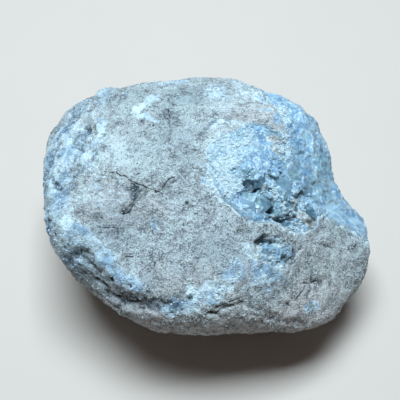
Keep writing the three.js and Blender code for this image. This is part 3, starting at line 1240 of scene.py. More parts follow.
@dataclass(frozen=True)
class SandyRock:
    """Pale sandy rock with a salt-and-pepper grain, white crust, and grime and painted shade in its cracks
    and hollows.
    """

    sand: Colour = (0.46, 0.505, 0.525)
    grey: Colour = (0.35, 0.375, 0.40)
    green: Colour = (0.47, 0.55, 0.555)
    light: Colour = (0.63, 0.72, 0.76)
    tan: Colour = (0.52, 0.465, 0.45)
    speck_and_shade: Colour = (0.12, 0.13, 0.135)
    grime_and_shade: Colour = (0.075, 0.085, 0.09)
    gap: Colour = (0.03, 0.035, 0.04)
    painted_low_shade: Colour = (0.50, 0.55, 0.62)
    shadow: Colour = (0.36, 0.44, 0.52)
    crust: Colour = (0.64, 0.76, 0.81)
    crust_blue: Colour = (0.28, 0.42, 0.56)

    def material(self) -> Material:
        """Builds the material.

        Returns:
            The material.
        """
        on = Finish("sandy_rock")
        # noise of five sizes, and dark grains of sand
        broad = on.noise(10.0, 3.0, 0.55, 0.6)
        mottle = on.noise(4.6, 4.0, 0.6, 0.4)
        blotch = on.noise(2.2, 3.0, 0.6, 0.4)
        grain = on.noise(1.0, 3.0, 0.75)
        fine = on.noise(0.5, 2.0, 0.7)
        lumps = grain * 0.42 + fine * 0.58
        seed, shade_of = on.cells(0.8)
        pick = Signal(on, on.node("ShaderNodeSeparateColor", {}, {"Color": shade_of}).outputs[0])
        crust, dirt, tan = on.kept("crust"), on.kept("dirt"), on.kept("tan")
        cavity, pale = on.kept("cavity"), on.kept("pale")
        # the rock itself, from its broad patches to its grains, with painted shade in the lows of its bumps
        colour = on.mix((broad * 0.5 + mottle * 0.5).ramp(0.38, 0.60), self.grey, self.sand)
        greener = (mottle * 0.6 + on.noise(15.0, 2.0) * 0.4).ramp(0.50, 0.60)
        colour = on.mix(greener * 0.6, colour, self.green)
        # tan spots, and over the front and underside a tan that is partly painted warm reflected light
        colour = on.mix(tan * (0.4 + mottle.ramp(0.2, 0.55) * 0.6), colour, self.tan)
        # lighter on the pale spots, which are painted highlight on the tops of the rim's folds and painted
        # light on the front crust
        whiter = pale * 0.7 + blotch.ramp(0.50, 0.70) * 0.3 + lumps.ramp(0.50, 0.62) * 0.6 - tan * 0.15
        colour = on.mix(whiter, colour, self.light)
        dark_grain = pick.ramp(0.66, 0.74) * seed.ramp(0.48, 0.22)
        colour = on.mix(dark_grain * (0.60 - pale * 0.5), colour, self.speck_and_shade)
        # painted shade in the lows of the fine lumps and of the blotches
        colour = on.mix(lumps.ramp(0.47, 0.36) * (0.72 - pale * 0.5 - tan * 0.45), colour, self.speck_and_shade)
        painted_low_shade = (blotch * 0.5 + mottle * 0.5).ramp(0.46, 0.34)
        colour = on.shade(colour, painted_low_shade * 0.36, self.painted_low_shade)
        # white crust, blue where it is thin, with painted shade in the lows of its lumps
        frost = (crust * 1.35 + grain * 0.8 + blotch - 1.35).ramp(0.0, 0.7)
        icy_tone = on.noise(7.0, 4.0, 0.58, 0.5) * 0.8 + on.noise(2.0, 3.0, 0.6) * 0.2 + fine * 0.08
        icy = on.mix((icy_tone + pale * 0.18).ramp(0.44, 0.62), self.crust_blue, self.crust)
        icy = on.mix(lumps.ramp(0.43, 0.34) * 0.25, icy, self.speck_and_shade)
        colour = on.mix(frost * 0.92, colour, icy)
        # painted shade in the hollows, painted shadows from the shade tint, stains mixed with painted
        # shade, and fine fissures drawn dark with painted shade
        colour = on.mix(cavity.ramp(0.48, 0.08) * 0.6, colour, self.grime_and_shade)
        colour = on.shade(colour, on.kept("shade") * (0.4 + mottle * 1.1), self.shadow)
        stain_and_shade = dirt + (grain * 0.55 + blotch * 0.45) * 2.6 - 1.95
        colour = on.mix(stain_and_shade.ramp(0.0, 0.45) * 0.85, colour, self.grime_and_shade)
        wide = (on.noise(6.5, 4.0, 0.62, 1.0) - 0.5).size().ramp(0.020, 0.003)
        wide = wide * on.noise(8.0, 2.0).ramp(0.50, 0.60)
        narrow = (on.noise(2.6, 3.0, 0.62, 1.0) - 0.5).size().ramp(0.030, 0.004) * mottle.ramp(0.52, 0.44)
        fissure = wide + narrow * 0.7
        colour = on.mix(fissure * (0.7 - crust * 0.4 - pale * 0.5), colour, self.grime_and_shade)
        # the open cracks, drawn dark with painted shade, whose width in mm varies
        open_width = 0.06 + 0.32 * on.noise(1.8, 2.0)
        line = (open_width - on.kept("seam").size()).ramp(0.0, 0.14) * on.kept("split")
        colour = on.mix(line * 0.95, colour, self.gap)
        height = lumps * (1.1 - frost * 0.45) + blotch * 0.8 + seed * 0.2 - line * 1.5 - fissure * 0.5
        sockets = {"Base Color": colour, "Roughness": 0.95 - frost * 0.35}
        sockets |= {"Normal": on.bump(height, 0.75, 0.95), "Specular IOR Level": 0.3}
        return on.finished(sockets)


@dataclass(frozen=True)
class MassiveCelestine:
    """Broken massive celestine: blue faces with frosted edges and painted glints, sugary white crust, dark
    vugs with painted shade.
    """

    deep: Colour = (0.14, 0.27, 0.43)
    blue: Colour = (0.225, 0.39, 0.55)
    pale: Colour = (0.35, 0.53, 0.67)
    frost: Colour = (0.51, 0.66, 0.74)
    sugar: Colour = (0.56, 0.67, 0.70)
    sugar_blue: Colour = (0.27, 0.42, 0.54)
    teal: Colour = (0.16, 0.27, 0.31)
    grime_and_shade: Colour = (0.09, 0.13, 0.16)
    rock: Colour = (0.46, 0.51, 0.53)
    speck_and_shade: Colour = (0.12, 0.13, 0.135)
    tan: Colour = (0.27, 0.285, 0.29)
    shadow: Colour = (0.40, 0.50, 0.58)
    run: Place = (0.78, -0.28, -0.56)
    across: Place = (0.3, 0.93, -0.05)

    def material(self) -> Material:
        """Builds the material.

        Returns:
            The material.
        """
        on = Finish("massive_celestine")
        fine = on.noise(0.45, 2.0, 0.65)
        lumps = on.noise(0.9, 3.0, 0.7) * 0.5 + fine * 0.5
        veil = on.noise(5.5, 4.0, 0.6)
        cloud = on.noise(2.4, 3.0, 0.6)
        place = on.wandering(1.6, 0.15)
        large, large_tone, large_edge = on.facets(3.9, place)
        small, small_tone, small_edge = on.facets(1.8, place)
        tiny, tiny_tone, _ = on.facets(0.8, place)
        crust, calm, rock = on.kept("crust"), on.kept("pale"), on.kept("rock")
        # crystal faces of three sizes, each with its own tone, rime along their edges, and painted glints
        # on some of the tiniest faces
        tone = large_tone * 0.44 + small_tone * 0.46 + tiny_tone * 0.10 + veil * 1.7 + cloud * 0.4 - 1.08
        tone = tone - on.kept("deep") * 0.5
        colour = on.mix(tone.ramp(0.12, 0.50), self.deep, self.blue)
        colour = on.mix(tone.ramp(0.45, 0.85), colour, self.pale)
        rime_and_glints = large_edge.ramp(0.16, 0.0) * 0.45 + small_edge.ramp(0.20, 0.0) * 0.45 + lumps * 0.9
        rime_and_glints = rime_and_glints + on.noise(6.0, 3.0, 0.6) * 1.8 + tiny_tone.ramp(0.78, 0.95) * 0.5 - 1.56
        colour = on.mix(rime_and_glints.ramp(0.0, 0.6) * (0.75 - calm * 0.4), colour, self.frost)
        streak = on.streaks(self.run, self.across, 5.0, 1.6, place)
        colour = on.mix(calm * streak.ramp(0.42, 0.62) * 0.75, colour, self.frost)
        # darker, greener crystal where the shade tint lies, which in the hollows is painted shade
        colour = on.mix(on.kept("shade") * (0.4 + cloud * 0.9), colour, self.teal)
        # sugary crust
        white = veil + cloud * 0.6 + tiny_tone * 0.12 + lumps * 0.4 + crust * 0.36 - 0.325
        powder = on.mix(white.ramp(0.96, 1.16), self.sugar_blue, self.sugar)
        sugary = (crust * 1.6 + lumps * 1.2 + cloud * 0.5 - 1.4).ramp(0.0, 0.6)
        colour = on.mix(sugary * 0.95, colour, powder)
        # rock over the edge, brown debris, dark grit that is partly painted shade in the lows of the lumps,
        # painted shade in the hollows, and grime mixed with painted shade
        sandy = rock * 1.4 + lumps * 1.2 + cloud * 0.6 - 1.35
        colour = on.mix(sandy.ramp(0.0, 0.7), colour, self.rock)
        brown = on.mix(cloud.ramp(0.40, 0.60), self.tan, self.rock)
        colour = on.mix((on.kept("tan") * 1.5 + lumps * 0.6 - 0.8).ramp(0.0, 0.7), colour, brown)
        gritty = 0.06 + crust * 0.34 + rock * 0.45
        colour = on.mix(lumps.ramp(0.46, 0.35) * gritty, colour, self.speck_and_shade)
        colour = on.shade(colour, on.kept("cavity").ramp(0.45, 0.05) * 0.5, self.shadow)
        stain_and_shade = on.kept("dirt") * 1.5 + lumps * 1.1 - 0.85
        colour = on.mix(stain_and_shade.ramp(0.0, 0.5) * 0.88, colour, self.grime_and_shade)
        height = (large * 0.36 + small * 0.56 + tiny * 0.28) * (1.0 - sugary * 0.5) * (1.0 - calm * 0.7)
        height = height + lumps * (0.12 + sugary * 0.73) + streak * calm * 0.2
        sockets = {"Base Color": colour, "Roughness": 0.28 + sugary * 0.4 + fine * 0.15}
        return on.finished(sockets | {"Normal": on.bump(height, 1.0, 0.9), "IOR": CELESTINE_IOR})


@dataclass(frozen=True)
class Grain:
    """One kind of loose-looking grain or tiny crystal, from a dark to a light tone."""

    name: str
    dark: Colour
    light: Colour
    rough: float = 0.6

    def material(self) -> Material:
        """Builds the material.

        Returns:
            The material.
        """
        on = Finish(self.name)
        veil = on.noise(1.6, 2.0)
        colour = on.mix(on.kept("tone") * 0.8 + veil * 0.4 - 0.1, self.dark, self.light)
        normal = on.bump(on.noise(0.25, 2.0), 0.12, 0.4)
        return on.finished({"Base Color": colour, "Roughness": self.rough + 0.2 * veil, "Normal": normal})


@dataclass(frozen=True)
class ClearCelestine:
    """Clear pale-blue crystal, cloudy with veils inside, that takes its colour from its depth."""

    dark: Colour = (0.10, 0.21, 0.28)
    light: Colour = (0.36, 0.56, 0.73)
    frost: Colour = (0.60, 0.70, 0.76)
    tint: Colour = (0.45, 0.72, 0.90)
    density: float = 90.0
    clear: float = 0.35
    polish: float = 0.10

    def material(self) -> Material:
        """Builds the material.

        Returns:
            The material.
        """
        on = Finish("celestine_crystal")
        veil = on.noise(3.6, 2.0, 0.5, 0.6)
        flaw = on.noise(1.4, 3.0, 0.6)
        colour = on.mix(on.kept("tone") * 0.85 + veil * 1.6 - 0.76, self.dark, self.light)
        colour = on.mix(flaw.ramp(0.54, 0.70) * 0.5, colour, self.frost)
        sockets = {"Base Color": colour, "Roughness": self.polish + 0.2 * veil}
        sockets |= {"IOR": CELESTINE_IOR, "Transmission Weight": self.clear}
        return on.finished(sockets, {"Color": (*self.tint, 1.0), "Density": self.density})


@dataclass(frozen=True)
class PaperFloor:
    """Plain pale paper that the stone lies on."""

    tone: Colour = (0.58, 0.50, 0.45)

    def material(self) -> Material:
        """Builds the material.

        Returns:
            The material.
        """
        on = Finish("paper_floor")
        colour = on.mix(on.noise(40.0, 2.0) * 0.3, self.tone, tuple(0.93 * part for part in self.tone))
        return on.finished({"Base Color": colour, "Roughness": 0.8})


# ---- Pieces ----


def linked(name: str, data: ID) -> Object:
    """Makes an object at the origin and links it into the scene."""
    made = bpy.data.objects.new(name, data)
    bpy.context.scene.collection.objects.link(made)
    return made


def new_piece(name: str, points: Array, faces: list, finish: Material | None = None) -> Object:
    """Makes a mesh object at the origin.

    Args:
        name: the piece's name.
        points: place of each vertex, in mm.
        faces: the vertices of each face, anticlockwise from outside.
        finish: its material, if it has one already.

    Returns:
        The object, linked into the scene.
    """
    mesh = bpy.data.meshes.new(name)
    mesh.from_pydata((points * MM).tolist(), [], faces)
    if finish is not None:
        mesh.materials.append(finish)
    mesh.polygons.foreach_set("use_smooth", [True] * len(mesh.polygons))
    return linked(name, mesh)


def keep_number(piece: Object, name: str, values: Array) -> None:
    """Stores one number for each vertex, which a finish or a scatter reads by name."""
    attribute = piece.data.attributes.new(name, "FLOAT", "POINT")
    attribute.data.foreach_set("value", values.astype(np.float32))


def settle(piece: Object, slot: str, *nodes: str) -> Object:
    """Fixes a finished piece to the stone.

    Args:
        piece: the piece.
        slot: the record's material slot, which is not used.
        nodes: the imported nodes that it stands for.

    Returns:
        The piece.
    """
    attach(piece, "root")
    if nodes:
        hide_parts(*nodes)
    triangles = sum(len(face.vertices) - 2 for face in piece.data.polygons)
    log.info("%s: %d triangles", piece.name, triangles)
    return piece


def crystal_nodes() -> list[str]:
    """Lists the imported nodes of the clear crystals."""
    return sorted(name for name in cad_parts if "crystal" in name)


def crystal_reach(node: str, points: Array) -> Array:
    """Measures places against a packed crystal.

    Args:
        node: the crystal's node.
        points: the places, in mm.

    Returns:
        The distance from the crystal's long axis, as a share of its half-width.
    """
    corners = np.array([vertex.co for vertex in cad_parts[node].data.vertices]) / MM
    middle = corners.mean(axis=0)
    axis = np.linalg.svd(corners - middle, full_matrices=False)[2][0]
    along = (corners - middle) @ axis
    girth = np.linalg.norm(corners - middle - along[:, None] * axis, axis=1).mean()
    reach = np.clip((points - middle) @ axis, along.min() + girth, along.max() - girth)
    return np.linalg.norm(points - middle - reach[:, None] * axis, axis=1) / girth


EDGE_WAVES = Roughness(6.5, 4, 71, 0.65)
EDGE_TEETH = Roughness(2.0, 3, 93, 0.7)
EDGE_SHADING = Roughness(3.0, 4, 87, 0.7)


def ragged_edge(points: Array, shares: Array) -> tuple[Array, Array]:
    """Makes the border between rock and celestine ragged.

    Args:
        points: the places, in mm.
        shares: the share of celestine at each, with a wide border.

    Returns:
        The share with a ragged border at 0.5, and the same with patches that shade over it.
    """
    edge = shares + 0.38 * EDGE_WAVES.at(points)
    edge += 0.16 * EDGE_TEETH.at(points)
    return edge, edge + 0.25 * EDGE_SHADING.at(points)


# Turns the stone's axes so that noise drawn out along x runs with the folds of its left side.
DIAGONAL = np.array([[0.70, -0.71, 0.0], [0.71, 0.70, 0.0], [0.0, 0.0, 1.0]])
# The direction across the rock's beds.
ACROSS_BEDS = np.array([0.42, 0.42, 0.80])
BED_WAVES = Roughness(9.0, 3, 161)
BED_LINES = Roughness(1.5, 2, 171)
FOLDS = Roughness(6.5, 3, 119, 0.55, (1.7, 1.0, 1.0))
STAIN_CREASES = Roughness(2.6, 3, 141)
CRUST_SPREAD = Roughness(2.5, 2, 91)
CRUST_LUMPS = Grains(2.1, 131)
FACE_SEED, FACE_STEP = 211, 13  # seed of the largest crystal faces, and the step to the next
LINING_LUMPS = Grains(1.7, 251)


@dataclass(frozen=True)
class SandyMatrix:
    """The rock of the cobble. It sinks away beneath the celestine that lines its broken side.

    Attributes:
        divisions: meshes of its net along each edge of the cube.
        lean: direction in which its net is finer.
        lean_share: how much finer.
        sink: depth to which the rock lies beneath the linings, in mm.
        hollow_sink: how much deeper it lies beneath the open hollows, in mm.
        slab: the raised slab behind the long crack, and its height in mm.
        plateau: the smooth rise on the slab, and its height in mm.
        rim: the folded left side, and the height of its folds in mm.
    """

    divisions: int = 128
    lean: Place = (-0.15, -0.5, 0.85)
    lean_share: float = 0.36
    sink: float = 5.0
    hollow_sink: float = 4.0
    slab: tuple[Patch, float] = (Patch((-21, -5.5, 62.5), (13.5, 11, 7), 0.1, 0.12, 6), 0.7)
    plateau: tuple[Patch, float] = (Patch((-30, -0.5, 62.5), (9, 8, 6), 0.3, 0.2, 6), 0.5)
    rim: tuple[Patch, float] = (Patch((-50, 2, 50), (13, 38, 16), 0.4, 0.2, 6), 2.0)

    def build(self, skin: StoneSkin) -> Object:
        """Builds the rock and fixes it.

        Args:
            skin: the stone's smooth outer surface.

        Returns:
            The piece.
        """
        net, zones = skin.laid(self.divisions, self.lean, self.lean_share)
        points = net.points
        relief = Relief(net)
        level = ground(points)
        relief.height += level
        self._weather(relief)
        # the marks fade, and the rock sinks, where the celestine begins
        edge, blend = ragged_edge(points, zones[:, 2:].max(axis=1))
        lined = smoothstep(0.48, 0.64, edge)
        relief.tint(CRUST, 0.75 * smoothstep(0.10, 0.46, blend))
        crevice = relief.cavity(5, 0.35)
        added = relief.height - level
        added = np.minimum(added, 0.0) + np.maximum(added, 0.0) * smoothstep(0.46, 0.26, edge)
        relief.height = (level + added) * (1.0 - lined) - self.sink * lined
        for hollow in skin.hollows:
            relief.height -= self.hollow_sink * hollow.cover(points) * lined
        piece = new_piece("weathered_rock", relief.moved(), net.quads.tolist(), SandyRock().material())
        bare = 1.0 - smoothstep(0.0, 0.3, lined)
        crusted = smoothstep(0.35, 0.8, relief.tints["crust"] + 0.25 * CRUST_SPREAD.at(points))
        sandy = bare * (1.0 - 0.85 * crusted) * (1.0 - 0.6 * relief.tints["dirt"])
        kept = relief.tints | {"cavity": crevice, "seam": relief.seam, "split": relief.split}
        for name, amount in (kept | {"sandy": sandy, "sugary": bare * crusted}).items():
            keep_number(piece, name, amount)
        return settle(piece, "sandy_rock", "sandy_matrix")

    def _weather(self, relief: Relief) -> None:
        """Adds this stone's own marks.

        Args:
            relief: the rock's heights and tints, which are changed.
        """
        points = relief.net.points
        relief.height += sum(height * patch.cover(points) for patch, height in (self.slab, self.plateau))
        rim = self.rim[0].cover(points)
        folds = FOLDS.at(points @ DIAGONAL)
        relief.height += rim * self.rim[1] * folds
        # painted shade in the lows of the rim's folds
        relief.tint(SHADE, rim * 0.8 * smoothstep(0.05, -0.40, folds))
        for tint, patches in AREAS.items():
            relief.tint(tint, strongest(patches, points))
        # lumps in the crust, creases in the stained rock, and calm ground in the pale spots
        _, edge, tones = CRUST_LUMPS.at(points)
        relief.height += relief.tints["crust"] * (0.9 * np.minimum(edge, 0.5) + 0.5 * tones[:, 0] - 0.2)
        relief.height -= relief.tints["dirt"] * 0.9 * np.clip(STAIN_CREASES.creases(points) - 0.3, 0.0, 1.0)
        relief.height *= 1.0 - 0.55 * relief.tints["pale"]
        # painted highlight on the tops of the rim's folds
        relief.tint(PALE, rim * 0.8 * smoothstep(0.10, 0.45, folds))
        self._bed(relief)
        for mark in PITS + RIDGES:
            relief.add(mark)
        for crack in CRACKS:
            relief.crack(crack)

    def _bed(self, relief: Relief) -> None:
        """Cuts the fine bedding lines into the lower left face and the front.

        Args:
            relief: the rock's heights and tints, which are changed.
        """
        points = relief.net.points
        level = points @ ACROSS_BEDS + 0.9 * BED_WAVES.at(points)
        lines = BED_LINES.at(np.stack([level, points[:, 0] * 0.1, points[:, 1] * 0.1], axis=1))
        face = Patch((-44, -42, 38), (22, 18, 16), 0.3, 0.3, 5).cover(points)
        front = Patch((5, -55, 38), (45, 9, 12), 0.3, 0.3, 5).cover(points)
        relief.height += lines * (0.75 * face + 0.45 * front)
        # darker in the grooves between the beds
        relief.tint(DIRT, 0.5 * face * smoothstep(0.0, -0.5, lines))


@dataclass(frozen=True)
class Lining:
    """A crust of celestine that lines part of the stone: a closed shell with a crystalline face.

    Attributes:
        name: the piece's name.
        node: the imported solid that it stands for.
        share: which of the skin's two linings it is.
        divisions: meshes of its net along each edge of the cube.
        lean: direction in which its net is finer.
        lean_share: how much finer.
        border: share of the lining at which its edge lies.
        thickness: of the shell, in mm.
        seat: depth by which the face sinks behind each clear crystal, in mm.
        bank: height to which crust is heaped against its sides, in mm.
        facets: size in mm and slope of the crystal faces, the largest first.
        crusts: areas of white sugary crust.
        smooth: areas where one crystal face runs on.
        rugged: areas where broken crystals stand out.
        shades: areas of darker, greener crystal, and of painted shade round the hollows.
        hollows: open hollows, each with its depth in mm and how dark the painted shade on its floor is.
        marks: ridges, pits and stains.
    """

    name: str
    node: str
    share: int
    divisions: int
    lean: Place
    lean_share: float
    border: float
    thickness: float
    seat: float
    bank: float
    facets: tuple[tuple[float, float], ...]
    crusts: Areas = ()
    smooth: Areas = ()
    rugged: Areas = ()
    shades: Areas = ()
    hollows: tuple[tuple[Patch, float, float], ...] = ()
    marks: tuple[Mark, ...] = ()

    def build(self, skin: StoneSkin, finish: Material) -> Object:
        """Builds the lining and fixes it.

        Args:
            skin: the stone's smooth outer surface.
            finish: its material.

        Returns:
            The piece.
        """
        whole, zones = skin.laid(self.divisions, self.lean, self.lean_share)
        net, knots = whole.cut(zones[:, self.share + 2] > self.border)
        zone, wide = zones[knots, self.share], zones[knots, self.share + 2]
        points = net.points
        relief = Relief(net)
        crust, calm, rugged = (strongest(kind, points) for kind in (self.crusts, self.smooth, self.rugged))
        self._grow_faces(relief, crust, calm, rugged)
        # towards its edge the lining's face is level with the rock's
        deep = smoothstep(0.45, 0.95, zone)
        relief.height = relief.height * deep + ground(points) * (1.0 - 0.6 * deep) - 0.12
        relief.tint(SHADE, strongest(self.shades, points))
        relief.tint(CRUST, crust)
        relief.tint(PALE, calm)
        for mark in self.marks:
            relief.add(mark)
        crevice = relief.cavity(5, 0.5)
        self._hollow_out(relief)
        # at its edge it dips beneath the rock, which lies over it in patches
        edge, blend = ragged_edge(points, wide)
        inside = smoothstep(0.26, 0.44, edge)
        relief.height = relief.height * inside - 2.4 * (1.0 - inside)
        rock = smoothstep(0.58, 0.46, blend)
        relief.tint(CRUST, 0.7 * smoothstep(0.95, 0.55, blend))
        piece = self._shell(net, relief, finish)
        for name, amount in {**relief.tints, "cavity": crevice, "rock": rock}.items():
            keep_number(piece, name, np.concatenate([amount, amount]))
        shown = inside * (1.0 - relief.tints["dirt"]) * (1.0 - 0.8 * rock)
        sugary = shown * smoothstep(0.3, 0.8, crust)
        blocky = shown * (1.0 - smoothstep(0.2, 0.6, crust)) * (1.0 - calm) * rugged
        for name, amount in {"sugary": sugary, "blocky": blocky}.items():
            keep_number(piece, name, np.concatenate([amount, np.zeros(len(points))]))
        return settle(piece, "massive_celestine", self.node)

    def _grow_faces(self, relief: Relief, crust: Array, calm: Array, rugged: Array) -> None:
        """Raises the crystal faces, and the lumps of the crust on them.

        Args:
            relief: the lining's heights and tints, which are changed.
            crust: how much white crust lies at each knot.
            calm: 1 where one crystal face runs on.
            rugged: 1 where broken crystals stand out.
        """
        warped = relief.net.points + 0.3 * relief.wander
        for number, (size, slope) in enumerate(self.facets):
            height = Grains(size, FACE_SEED + FACE_STEP * number).facets(warped, slope)
            relief.height += (0.4 + 0.7 * rugged) * (1.0 - 0.35 * crust) * (1.0 - 0.75 * calm) * height
        # white crust on the crests of the broken crystals, and painted shade in the hollows between them
        rise = rugged * (relief.height - relief.net.relaxed(relief.height, 8))
        relief.tint(CRUST, 0.9 * (1.0 - calm) * smoothstep(0.03, 0.22, rise))
        relief.tint(SHADE, 0.9 * smoothstep(0.0, -0.25, rise))
        _, rim, lump = LINING_LUMPS.at(relief.net.points)
        relief.height += crust * (0.9 * np.minimum(rim, 0.45) + 0.8 * lump[:, 0] - 0.58)

    def _hollow_out(self, relief: Relief) -> None:
        """Sinks the open hollows, with rough steep walls and floors darkened with painted shade, and the
        crystals' seats.

        Args:
            relief: the lining's heights and tints, which are changed.
        """
        points = relief.net.points + 0.5 * relief.wander
        for node in crystal_nodes():
            distance = crystal_reach(node, points)
            relief.height -= self.seat * smoothstep(1.1, 0.6, distance)
            bank = smoothstep(0.8, 1.2, distance) * smoothstep(2.2, 1.5, distance)
            bank *= 1.0 - relief.tints["pale"]
            relief.height += self.bank * bank * (0.5 + relief.wander[:, 1])
            relief.tint(CRUST, 0.8 * bank * smoothstep(-0.1, 0.3, relief.wander[:, 2]))
        for patch, depth, grime_and_shade in self.hollows:
            distance = patch.distance(points)
            relief.height -= depth * smoothstep(1.1, 0.6, distance)
            relief.tint(DIRT, grime_and_shade * smoothstep(0.95, 0.55, distance))

    def _shell(self, net: Net, relief: Relief, finish: Material) -> Object:
        """Closes the outer face with an inner one.

        Args:
            net: the lining's net on the skin.
            relief: its heights.
            finish: its material.

        Returns:
            The piece.
        """
        outer = relief.moved()
        depth = net.relaxed(relief.height, 12)
        low = np.minimum(depth, net.relaxed(np.minimum(relief.height, depth), 3)) - self.thickness
        inner = net.points + net.normals() * low[:, None]
        inner[:, 2] = np.maximum(inner[:, 2], 0.5)
        count = len(net.points)
        rim = net.rim()
        walls = np.stack([rim[:, 1], rim[:, 0], rim[:, 0] + count, rim[:, 1] + count], axis=1)
        faces = np.concatenate([net.quads, net.quads[:, ::-1] + count, walls])
        return new_piece(self.name, np.concatenate([outer, inner]), faces.tolist(), finish)


CELESTINE_LINING = Lining(
    name="broken_celestine",
    node="celestine_lining",
    share=0,
    divisions=150,
    lean=(0.62, -0.1, 0.75),
    lean_share=0.42,
    border=0.06,
    thickness=3,
    seat=0.45,
    bank=0.5,
    facets=((5.4, 0.30), (2.7, 0.30), (1.4, 0.25)),
    crusts=areas(
        ((3.5, -4.5, 63.5), (7.5, 11, 8), 0.5, 0.5, 5, 1),
        ((9.5, 4.5, 63), (10, 6.5, 8), 0.5, 0.6, 5, 0.9),
        ((7, -15, 61), (6.5, 5, 6), 0.4, 0.5, 4, 0.85),
        ((15, -2, 62), (4.5, 5, 5), 0.5, 0.8, 3, 0.4),
        ((28.6, 13.5, 62.2), (3, 9.5, 4.5), 0.5, 0.8, 3, 1),
        ((22, 20, 60.5), (4.5, 7, 5), 0.5, 0.6, 3, 0.8),
        ((28.5, 1, 60), (3, 4.5, 3), 0.5, 0.7, 2, 0.9),
        ((31.5, -23, 47.5), (3.2, 2.8, 3.2), 0.4, 0.4, 2, 0.95),
        ((24, -14.5, 57), (2.2, 3, 3), 0.5, 0.6, 2, 0.9),
    ),
    smooth=areas(
        ((51, -17.5, 40.5), (16, 5.5, 14), 0.3, 0.25, 4, 1),
        ((32, -6.6, 56.2), (2.6, 2.6, 3), 0.3, 0.3, 2, 1),
        ((14.4, -17.6, 58.6), (2.2, 1.8, 2.6), 0.3, 0.3, 2, 1),
        ((18.6, -19.4, 57.6), (1.8, 1.8, 2.6), 0.3, 0.3, 2, 1),
    ),
    rugged=areas(((25, -16, 56), (13, 9.5, 9), 0.4, 0.3, 4, 1)),
    shades=areas(
        # painted shade round the hollows
        ((14, -10, 61), (3.6, 2.4, 4), 0.5, 0.5, 2.5, 0.8),
        ((26.5, -22.5, 52.5), (4.5, 3.6, 4), 0.5, 0.5, 3, 1),
        ((22, -17.5, 56), (4, 3.5, 4), 0.5, 0.5, 2, 0.7),
        ((36.5, -9.5, 51), (2.6, 3.6, 4), 0.5, 0.5, 2.5, 0.6),
        # darker, greener crystal
        ((29, -17.5, 54), (3, 3, 4), 0.5, 0.5, 2.5, 1),
        ((32, -6.6, 56.2), (2.4, 2.4, 3), 0.4, 0.4, 2, 1),
        ((14.4, -17.6, 58.6), (2.2, 1.8, 2.6), 0.4, 0.4, 2, 0.9),
        ((18.6, -19.4, 57.6), (1.8, 1.8, 2.6), 0.4, 0.4, 2, 0.9),
        ((40.5, -7.5, 49.5), (4.5, 4.5, 5), 0.5, 0.6, 3, 0.5),
        ((45, -1, 50), (5, 10, 8), 0.6, 0.5, 4, 0.5),
    ),
    hollows=(
        (Patch((16.2, -14, 61), (4.2, 2.4, 5)), 3, 0.75),
        (Patch((22, -21, 55.5), (2.4, 2, 4)), 3.5, 0.9),
        (Patch((27, -23.6, 52), (4, 1.6, 4)), 2.6, 0.6),
        (Patch((36.5, -10, 51), (1.6, 1.6, 2.5)), 0.5, 0.35),
    ),
    marks=(
        Mark(
            ((23, -13, 58.5), (25.5, -15.5, 57), (27, -17.5, 55), (28, -20, 53)),
            1.3, 0.9, CRUST, 1, 0.9,
        ),
        Mark(((20, -13.8, 59), (22, -12.2, 59.5), (23.5, -14, 58.5)), 1.1, 0.4, TAN, 0.9, 1.2),
        Mark(((31.6, -15.6, 52), (31.8, -18, 51.5), (30.8, -20.5, 51.5)), 1.7, 0.4, TAN, 1, 1),
        Mark(((32.6, -16.5, 51.5), (32.2, -19.5, 51), (30, -22.4, 51)), 0.9, -0.9, DIRT, 0.6, 0.8),
        Mark(((36, -19.6, 47.6), (38.4, -19.2, 47.4), (40, -17.6, 47.2)), 1.2, 0.9, CRUST, 0.5, 0.6),
        Mark(((18.5, -15.6, 59.5), (20.5, -14.6, 59.5)), 0.8, -0.5, DIRT, 0.6, 0.8),
        Mark(((34, -19, 49.2), (36, -20.6, 47.8), (38.4, -21, 45.8)), 2.4, 0.2, TAN, 1, 1.2),
        Mark(((24.5, -25.5, 52.5), (29, -25.5, 50)), 1, 0.2, TAN, 0.7, 1.4),
        Mark(((23, 5.5, 63), (25.5, 3.5, 62), (24, 1, 61.5)), 2.2, 0.2, TAN, 0.8, 2.8),
        Mark(((38, -17.2, 48), (39.5, -19, 46)), 1.9, -0.3, DEEP, 1, 0.5),
        Mark(((33, 8, 59), (36, 4, 57)), 2.6, 0, DEEP, 0.6, 2.5),
        Mark(((31.5, 13, 60), (32, 10, 60)), 2.2, 0, DEEP, 0.6, 2),
        Mark(((35.8, -7.5, 52), (37.4, -11, 50)), 1.6, 0, DEEP, 0.9, 1),
        Mark(((18, -4.6, 62.2), (21, -6.5, 61.7)), 3, 0, DEEP, 1, 2),
        Mark(((23.5, 7.5, 63), (26.5, 6.5, 62.3), (27.2, 9, 62.2)), 1.8, 0.3, SHADE, 0.8, 1.8),
        Mark(((37.5, 22.5, 57.5), (41, 23, 54)), 4.5, 1.5, DEEP, 0, 1, 0.7),
        Mark(((30, 31, 57), (33.5, 28.5, 56.5)), 4.2, 1.3, DEEP, 0, 1, 0.7),
    ),
)

